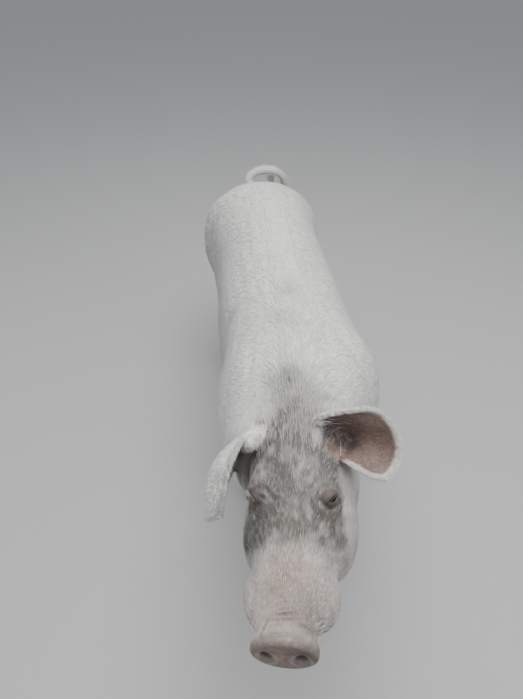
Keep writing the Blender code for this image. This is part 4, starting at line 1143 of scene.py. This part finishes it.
def lie_of_coat(places, normals, parts):
    """The way the bristles lie at each place on the hide."""
    sow = places - SOW_ORIGIN
    aside = sow[:, 0] - np.interp(sow[:, 1], *SPINE)
    down = np.zeros_like(places)
    down[:, 0] = np.sign(aside)
    down[:, 2] = -1.0
    down = unit(down - normals * np.sum(down * normals, axis=1)[:, None])
    back = np.array((0.0, 1.0, 0.0)) - normals * normals[:, 1:2]
    slope = math.radians(78.0) * soft_step(np.abs(aside), 0.0, 0.085)
    slope = slope * (0.55 + 0.45 * soft_step(sow[:, 2], 0.36, 0.56))
    way = unit(back) * np.cos(slope)[:, None] + down * np.sin(slope)[:, None]
    outward = sow - np.array(WHORL)
    swirl = 0.9 * np.exp(-((np.linalg.norm(outward, axis=1) / 0.055) ** 2))[:, None]
    way = way * (1 - swirl) + unit(outward) * swirl
    head = parts == FLESH.index("head")
    way[head] = np.array((0.0, 1.0, -0.1)) @ HEAD_TURN.T
    for name, root in EAR_ROOTS.items():
        way[parts == FLESH.index(name)] = (np.array(EAR_TIPS[name]) - np.array(root)) @ HEAD_TURN.T
    for number, name in enumerate(FLESH):
        if "leg" in name:
            way[parts == number] = (0.0, 0.22, -1.0)
    tail = np.flatnonzero(parts == FLESH.index("tail"))
    line = np.array(TAIL_LINE)
    middles = 0.5 * (line[:-1] + line[1:])
    nearest = np.argmin(np.linalg.norm(sow[tail][:, None] - middles[None], axis=2), axis=1)
    way[tail] = (line[1:] - line[:-1])[nearest]
    return way


def coat_colours(places, normals, parts, near_rim):
    """The coat's colour at each place, and how much dried mud and painted shade darken it."""
    head = in_head(places)
    mud_and_shade_cover = mud_and_shade(places) * off_ears(parts)
    mud_and_shade_cover *= 1.0 - 0.32 * (draw.random(len(places)) < 0.15)
    colours = mixed(np.tile(COAT_COLOUR, (len(places), 1)), MUD_AND_SHADE_COLOUR, mud_and_shade_cover)
    # Painted light: the ears' bristles are made paler, as the ears turn away from the light
    colours *= (1.0 + 0.09 * (1.0 - off_ears(parts)))[:, None]
    funnel, cleft = in_funnel(places)
    inner = ear_inside(places, normals, parts) * (1.0 - near_rim)
    colours = mixed(colours, (0.40, 0.34, 0.31), 0.8 * np.maximum(inner, funnel))
    # Painted shade on the bristles in the raised ear's cleft
    colours = mixed(colours, (0.26, 0.23, 0.21), 0.7 * cleft * np.maximum(inner, funnel))
    stained = blob(head, (-0.092, -0.022, -0.020), (0.016, 0.014, 0.016))
    return mixed(colours, (0.62, 0.53, 0.44), 0.6 * stained), mud_and_shade_cover


def chart_places(places, normals, parts):
    """Where each place lies on the coat's map: every part of the body is unwrapped into its own field."""
    sow = places - SOW_ORIGIN
    head = in_head(places)
    along = (sow[:, 1] + 0.50) / 1.36
    around = np.arctan2(sow[:, 0] - np.interp(sow[:, 1], *SPINE), sow[:, 2] - 0.58) / (2 * math.pi) + 0.5
    chart = np.stack((along, 0.5 * around), axis=1)
    around = np.arctan2(head[:, 0], head[:, 2] + 0.085) / (2 * math.pi) + 0.5
    mine = parts == FLESH.index("head")
    chart[mine] = np.stack((0.45 * (head[:, 1] + 0.40) / 0.50, 0.52 + 0.24 * around), axis=1)[mine]
    for number, name in enumerate(("ear_left", "ear_right")):
        mine = parts == FLESH.index(name)
        line = np.array(EAR_TIPS[name]) - np.array(EAR_ROOTS[name])
        run = (head - np.array(EAR_ROOTS[name])) @ line / (line @ line)
        wide = 0.5 + (head[:, 1] + head[:, 2] + 0.09) / 0.36
        inner = ear_inside(places, normals, parts) > 0.5
        across = 0.48 + 0.24 * number + 0.11 * inner + 0.10 * np.clip(run, 0, 1)
        chart[mine] = np.stack((across, 0.52 + 0.24 * wide), axis=1)[mine]
    for number, name in enumerate(FLESH[-4:]):
        mine = parts == FLESH.index(name)
        foot = np.mean([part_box(f"{name}_{toe}_claw") for toe in ("inner", "outer")], axis=(0, 1))
        around = np.arctan2(places[:, 0] - foot[0], places[:, 1] - foot[1]) / (2 * math.pi) + 0.5
        chart[mine] = np.stack((0.18 * number + 0.16 * sow[:, 2] / 0.6, 0.78 + 0.20 * around), axis=1)[mine]
    mine = parts == FLESH.index("tail")
    chart[mine] = np.stack((0.74 + (sow[:, 0] + 0.06), 0.80 + (sow[:, 2] - 0.66)), axis=1)[mine]
    return 0.01 + 0.98 * chart.clip(0.0, 1.0)


def settled(group):
    """How far each tip moves along its root's normal, so that it lies at its own height over the hide."""
    rise = group["lengths"] * np.sin(group["lifts"]) * (1.0 - SAG_SHARE)
    run = group["lengths"] * np.cos(group["lifts"])
    tips = group["roots"] + group["ways"] * run[:, None] + group["normals"] * rise[:, None]
    nearest = np.array([hide_surface.find_nearest(tip)[:2] for tip in tips.tolist()])
    heights = np.sum((tips - nearest[:, 0]) * nearest[:, 1], axis=1)
    move = (rise.clip(*SETTLE_HEIGHT) - heights).clip(*SETTLE_MOVE)
    return move * (group["lifts"] < STANDING_LIFT)


def bristles(name, rings, group):
    """A mesh of closed, tapered spikes, each with rings of three corners and a tip."""
    roots, normals, ways = group["roots"], group["normals"], group["ways"]
    lengths, widths, lifts, chart = group["lengths"], group["widths"], group["lifts"], group["chart"]
    count = len(roots)
    each = 3 * rings + 1
    sides = np.cross(normals, ways)
    starts = ways * np.cos(lifts)[:, None] + normals * np.sin(lifts)[:, None]
    sags = normals * (group["moves"] - SAG_SHARE * lengths * np.sin(lifts))[:, None]
    sunk = roots - normals * BRISTLE_SINK
    places = np.empty((count, each, 3))
    spots = np.empty((count, each, 2))
    shares = np.repeat(np.append(np.arange(rings) / rings, 1.0), np.append(np.full(rings, 3), 1))
    for ring in range(rings):
        share = ring / rings
        middle = sunk + starts * (lengths * share)[:, None] + sags * share**2
        half = (0.5 * widths * (1.0 - share) ** 0.6)[:, None]
        places[:, 3 * ring] = middle - sides * half
        places[:, 3 * ring + 1] = middle + sides * half
        places[:, 3 * ring + 2] = middle + normals * half * BRISTLE_THICKNESS * 2
        for corner, (across, along) in enumerate(((-0.5, 0.0), (0.5, 0.0), (0.0, 0.12))):
            spots[:, 3 * ring + corner, 0] = chart[:, 0] + PATCH * across * (1.0 - share)
            spots[:, 3 * ring + corner, 1] = chart[:, 1] + PATCH * (share + along * (1.0 - share) - 0.5)
    places[:, -1] = sunk + starts * lengths[:, None] + sags
    spots[:, -1, 0] = chart[:, 0]
    spots[:, -1, 1] = chart[:, 1] + 0.5 * PATCH
    corners = [(0, 2, 1)]
    for ring in range(rings - 1):
        for left, right in ((0, 1), (1, 2), (2, 0)):
            low_left, low_right, step = 3 * ring + left, 3 * ring + right, 3
            corners.append((low_left, low_right, low_right + step))
            corners.append((low_left, low_right + step, low_left + step))
    last = 3 * (rings - 1)
    corners.extend(((last, last + 1, each - 1), (last + 1, last + 2, each - 1), (last + 2, last, each - 1)))
    corners = np.array(corners)
    faces = (corners[None] + each * np.arange(count)[:, None, None]).reshape(-1)
    data = bpy.data.meshes.new(name)
    data.vertices.add(count * each)
    data.vertices.foreach_set("co", places.astype(np.float32).ravel())
    data.loops.add(len(faces))
    data.loops.foreach_set("vertex_index", faces.astype(np.int32))
    data.polygons.add(len(faces) // 3)
    data.polygons.foreach_set("loop_start", np.arange(0, len(faces), 3, dtype=np.int32))
    data.update(calc_edges=True)
    layer = data.uv_layers.new(name="OFBake")
    layer.uv.foreach_set("vector", spots.reshape(-1, 2)[faces].astype(np.float32).ravel())
    # Painted shade: each bristle darkens towards its root, where the coat round it shades it
    shade = (1.0 - ROOT_SHADE * (1.0 - shares))[None, :, None] * group["colours"][:, None, :]
    shade = np.concatenate((shade, np.ones((count, each, 1))), axis=2)
    marks = data.color_attributes.new("marking", "FLOAT_COLOR", "POINT")
    marks.data.foreach_set("color", shade.astype(np.float32).ravel())
    soft = vertex_normals(data).reshape(count, each, 3)
    share = group["softness"][:, None, None]
    soft = unit(soft * (1.0 - share) + normals[:, None, :] * share)
    data.normals_split_custom_set_from_vertices(soft.reshape(-1, 3))
    return placed(name, data)


coat_finish, coat_tree, coat_shader = principled("coat_finish", COAT_COLOUR, 0.5, 0.35)
coat_marking = add_node(coat_tree, "Attribute")
coat_marking.attribute_name = "marking"
join(coat_tree, (coat_marking, "Color", coat_shader, "Base Color"))

hide.data.calc_loop_triangles()
corners = np.empty(len(hide.data.loop_triangles) * 3, np.int32)
hide.data.loop_triangles.foreach_get("vertices", corners)
corners = corners.reshape(-1, 3)
places = vertex_places(hide.data)
normals = vertex_normals(hide.data)
ways = spread(hide.data, lie_of_coat(places, normals, hide_parts), 6)
settings = spread(hide.data, coat_settings(places, normals, hide_parts), 2)
rims = near_rims(places, normals, hide_parts)
hide_surface = BVHTree.FromPolygons(places.tolist(), corners.tolist())
triangles = places[corners]
edges = triangles[:, 1:] - triangles[:, :1]
areas = 0.5 * np.linalg.norm(np.cross(edges[:, 0], edges[:, 1]), axis=1)
draw = np.random.default_rng(COAT_SEED)


def scattered(wanted, count):
    """Places drawn at random over the hide: each one's triangle, and its shares of the three corners."""
    running = np.cumsum(wanted)
    chosen = np.searchsorted(running, draw.random(count) * running[-1])
    first, second = draw.random(count), draw.random(count)
    over = first + second > 1.0
    first[over], second[over] = 1.0 - first[over], 1.0 - second[over]
    return chosen, np.stack((1.0 - first - second, first, second), axis=1)


def varied(sizes, spread_of_sizes, low, high):
    """The sizes of bristles, each varied at random between two shares of it."""
    return sizes * (1.0 + spread_of_sizes * draw.standard_normal(len(sizes))).clip(low, high)


def at_roots(values, chosen, shares):
    return np.sum(values[corners[chosen]] * shares[:, :, None], axis=1)


def planted(chosen, shares):
    """Roots, their normals and lie, their parts, colours and place on the coat's map."""
    root_normals = unit(at_roots(normals, chosen, shares))
    roots = at_roots(places, chosen, shares)
    rise = np.zeros(len(roots))
    for corner in range(3):
        corner_normals = normals[corners[chosen, corner]]
        above = np.sum((roots - places[corners[chosen, corner]]) * corner_normals, axis=1)
        rise -= shares[:, corner] * above * np.sum(corner_normals * root_normals, axis=1)
    # The smooth surface that a flat triangle stands for bulges over it
    roots = roots + root_normals * (ROOT_RISE * rise).clip(0.0, MOST_RISE)[:, None]
    lie = at_roots(ways, chosen, shares)
    lie = unit(lie - root_normals * np.sum(lie * root_normals, axis=1)[:, None])
    yaw = 0.22 * grain(roots, 0.014, 8) + 0.10 * draw.standard_normal(len(roots))
    lie = lie * np.cos(yaw)[:, None] + np.cross(root_normals, lie) * np.sin(yaw)[:, None]
    parts = hide_parts[corners[chosen, 0]]
    root_rims = at_roots(rims[:, None], chosen, shares)[:, 0]
    colours, mud_and_shade_cover = coat_colours(roots, root_normals, parts, root_rims)
    streak = sum(grain(roots + lie * step, 0.005, 12) for step in (-0.009, -0.0045, 0.0, 0.0045, 0.009)) / 5.0
    shade = 1.0 + (0.10 + 0.25 * mud_and_shade_cover) * streak + (0.03 + 0.09 * mud_and_shade_cover) * draw.standard_normal(len(roots))
    return {
        "roots": roots, "normals": root_normals, "ways": lie, "parts": parts,
        "colours": colours * shade[:, None],
        "chart": chart_places(roots, root_normals, parts),
        "softness": (0.35 + (NORMAL_SHARE - 0.35) * off_ears(parts)) * (1.0 - root_rims),
    }


wanted = areas * 1e4 * settings[corners, 0].mean(axis=1) * 1.0
chosen, shares = scattered(wanted, int(wanted.sum()))
coat = planted(chosen, shares)
coat_sizes = at_roots(settings, chosen, shares)
coat["lengths"] = varied(coat_sizes[:, 1], 0.18, 0.5, 1.5)
coat["widths"] = varied(coat_sizes[:, 2], 0.20, 0.5, 1.6)
coat["lifts"] = varied(coat_sizes[:, 3], 0.35, 0.3, 2.0)
sow = coat["roots"] - SOW_ORIGIN
body = np.isin(coat["parts"], [FLESH.index("torso"), FLESH.index("neck")])
legs = np.isin(coat["parts"], [FLESH.index(part) for part in FLESH if "leg" in part])
tail = coat["parts"] == FLESH.index("tail")
face = ~body & ~legs & ~tail
front = sow[:, 1] < -0.02
rear = sow[:, 1] > 0.42
right = sow[:, 0] < np.interp(sow[:, 1], *SPINE)
right_face = in_head(coat["roots"])[:, 0] < 0
COAT_PIECES = (
    ("coat_shoulders_left", body & front & ~right), ("coat_shoulders_right", body & front & right),
    ("coat_flank_left", body & ~front & ~rear & ~right), ("coat_flank_right", body & ~front & ~rear & right),
    ("coat_rump_left", (body & rear & ~right) | tail), ("coat_rump_right", body & rear & right),
    ("coat_face_left", face & ~right_face), ("coat_face_right", face & right_face),
    ("coat_forelegs", legs & (sow[:, 1] < 0.3)), ("coat_hindleg_left", legs & (sow[:, 1] >= 0.3) & ~right),
    ("coat_hindleg_right", legs & (sow[:, 1] >= 0.3) & right),
)
pieces = [(name, 1, {key: values[members] for key, values in coat.items()}) for name, members in COAT_PIECES]

# The longer bristles, 70 to 700 to each place
middles = triangles.mean(axis=1)
long_groups = []
for whose, centre, radii, number, length, width, lift, colour in TUFTS:
    local = in_head(middles) if whose == "head" else middles - SOW_ORIGIN
    group = planted(*scattered(areas * blob(local, centre, radii) * (1.0 - bare_places(middles)), number))
    group["lengths"] = varied(np.full(number, length), 0.22, 0.5, 1.5)
    group["widths"] = np.full(number, width)
    group["lifts"] = varied(np.full(number, lift), 0.35, 0.3, 1.8)
    tone = group["colours"] / np.array(COAT_COLOUR)
    group["colours"] = np.array(colour) * (0.55 + 0.45 * tone)
    group["softness"] = np.full(number, 0.35)
    long_groups.append(group)
long_coat = {key: np.concatenate([group[key] for group in long_groups]) for key in long_groups[0]}
pieces.append(("coat_long", 3, long_coat))
for piece_name, rings, group in pieces:
    group["moves"] = settled(group)
    made = bristles(piece_name, rings, group)
    made.data.materials.append(coat_finish)
    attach(made, "root")

# Lashes: a row of stiff bristles along each upper lid that shade the eye, painted dark grey as part of the
# shade round it.
# Each is a thin closed spike rooted on the lid's edge.
LASH_COUNT = 46
LASH_LENGTH = 0.0105
LASH_WIDTH = 0.0006
LASH_SHADE_COLOUR = (0.30, 0.28, 0.25)
for lash_name, lash_side in (("lashes_left", 1), ("lashes_right", -1)):
    centre, look, along, up = (np.array(axis) for axis in eye_axes(lash_side))
    reach = np.linspace(-0.95, 0.95, LASH_COUNT) * SLIT_HALF
    height = np.array([slit_height(step, True) for step in reach]) + 0.0012
    outward = np.sqrt((EYE_RADIUS + 0.0028) ** 2 - reach**2 - height**2)
    roots = centre + reach[:, None] * along + height[:, None] * up + outward[:, None] * look
    fan = unit(look + 0.55 * up + (reach / SLIT_HALF * 0.7)[:, None] * along)
    ahead = unit(np.cross(fan, np.tile(along, (LASH_COUNT, 1))))
    lashes = bristles(lash_name, 2, {
        "roots": roots, "normals": ahead, "ways": fan,
        "lengths": varied(np.full(LASH_COUNT, LASH_LENGTH), 0.2, 0.6, 1.4),
        "lifts": 0.15 * draw.standard_normal(LASH_COUNT),
        "moves": np.zeros(LASH_COUNT), "widths": np.full(LASH_COUNT, LASH_WIDTH),
        "colours": np.tile(LASH_SHADE_COLOUR, (LASH_COUNT, 1)), "softness": np.full(LASH_COUNT, 0.3),
        "chart": np.linspace((0.95 + 0.02 * lash_side, 0.90), (0.95 + 0.02 * lash_side, 0.98), LASH_COUNT),
    })
    lashes.data.materials.append(coat_finish)
    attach(lashes, "root")
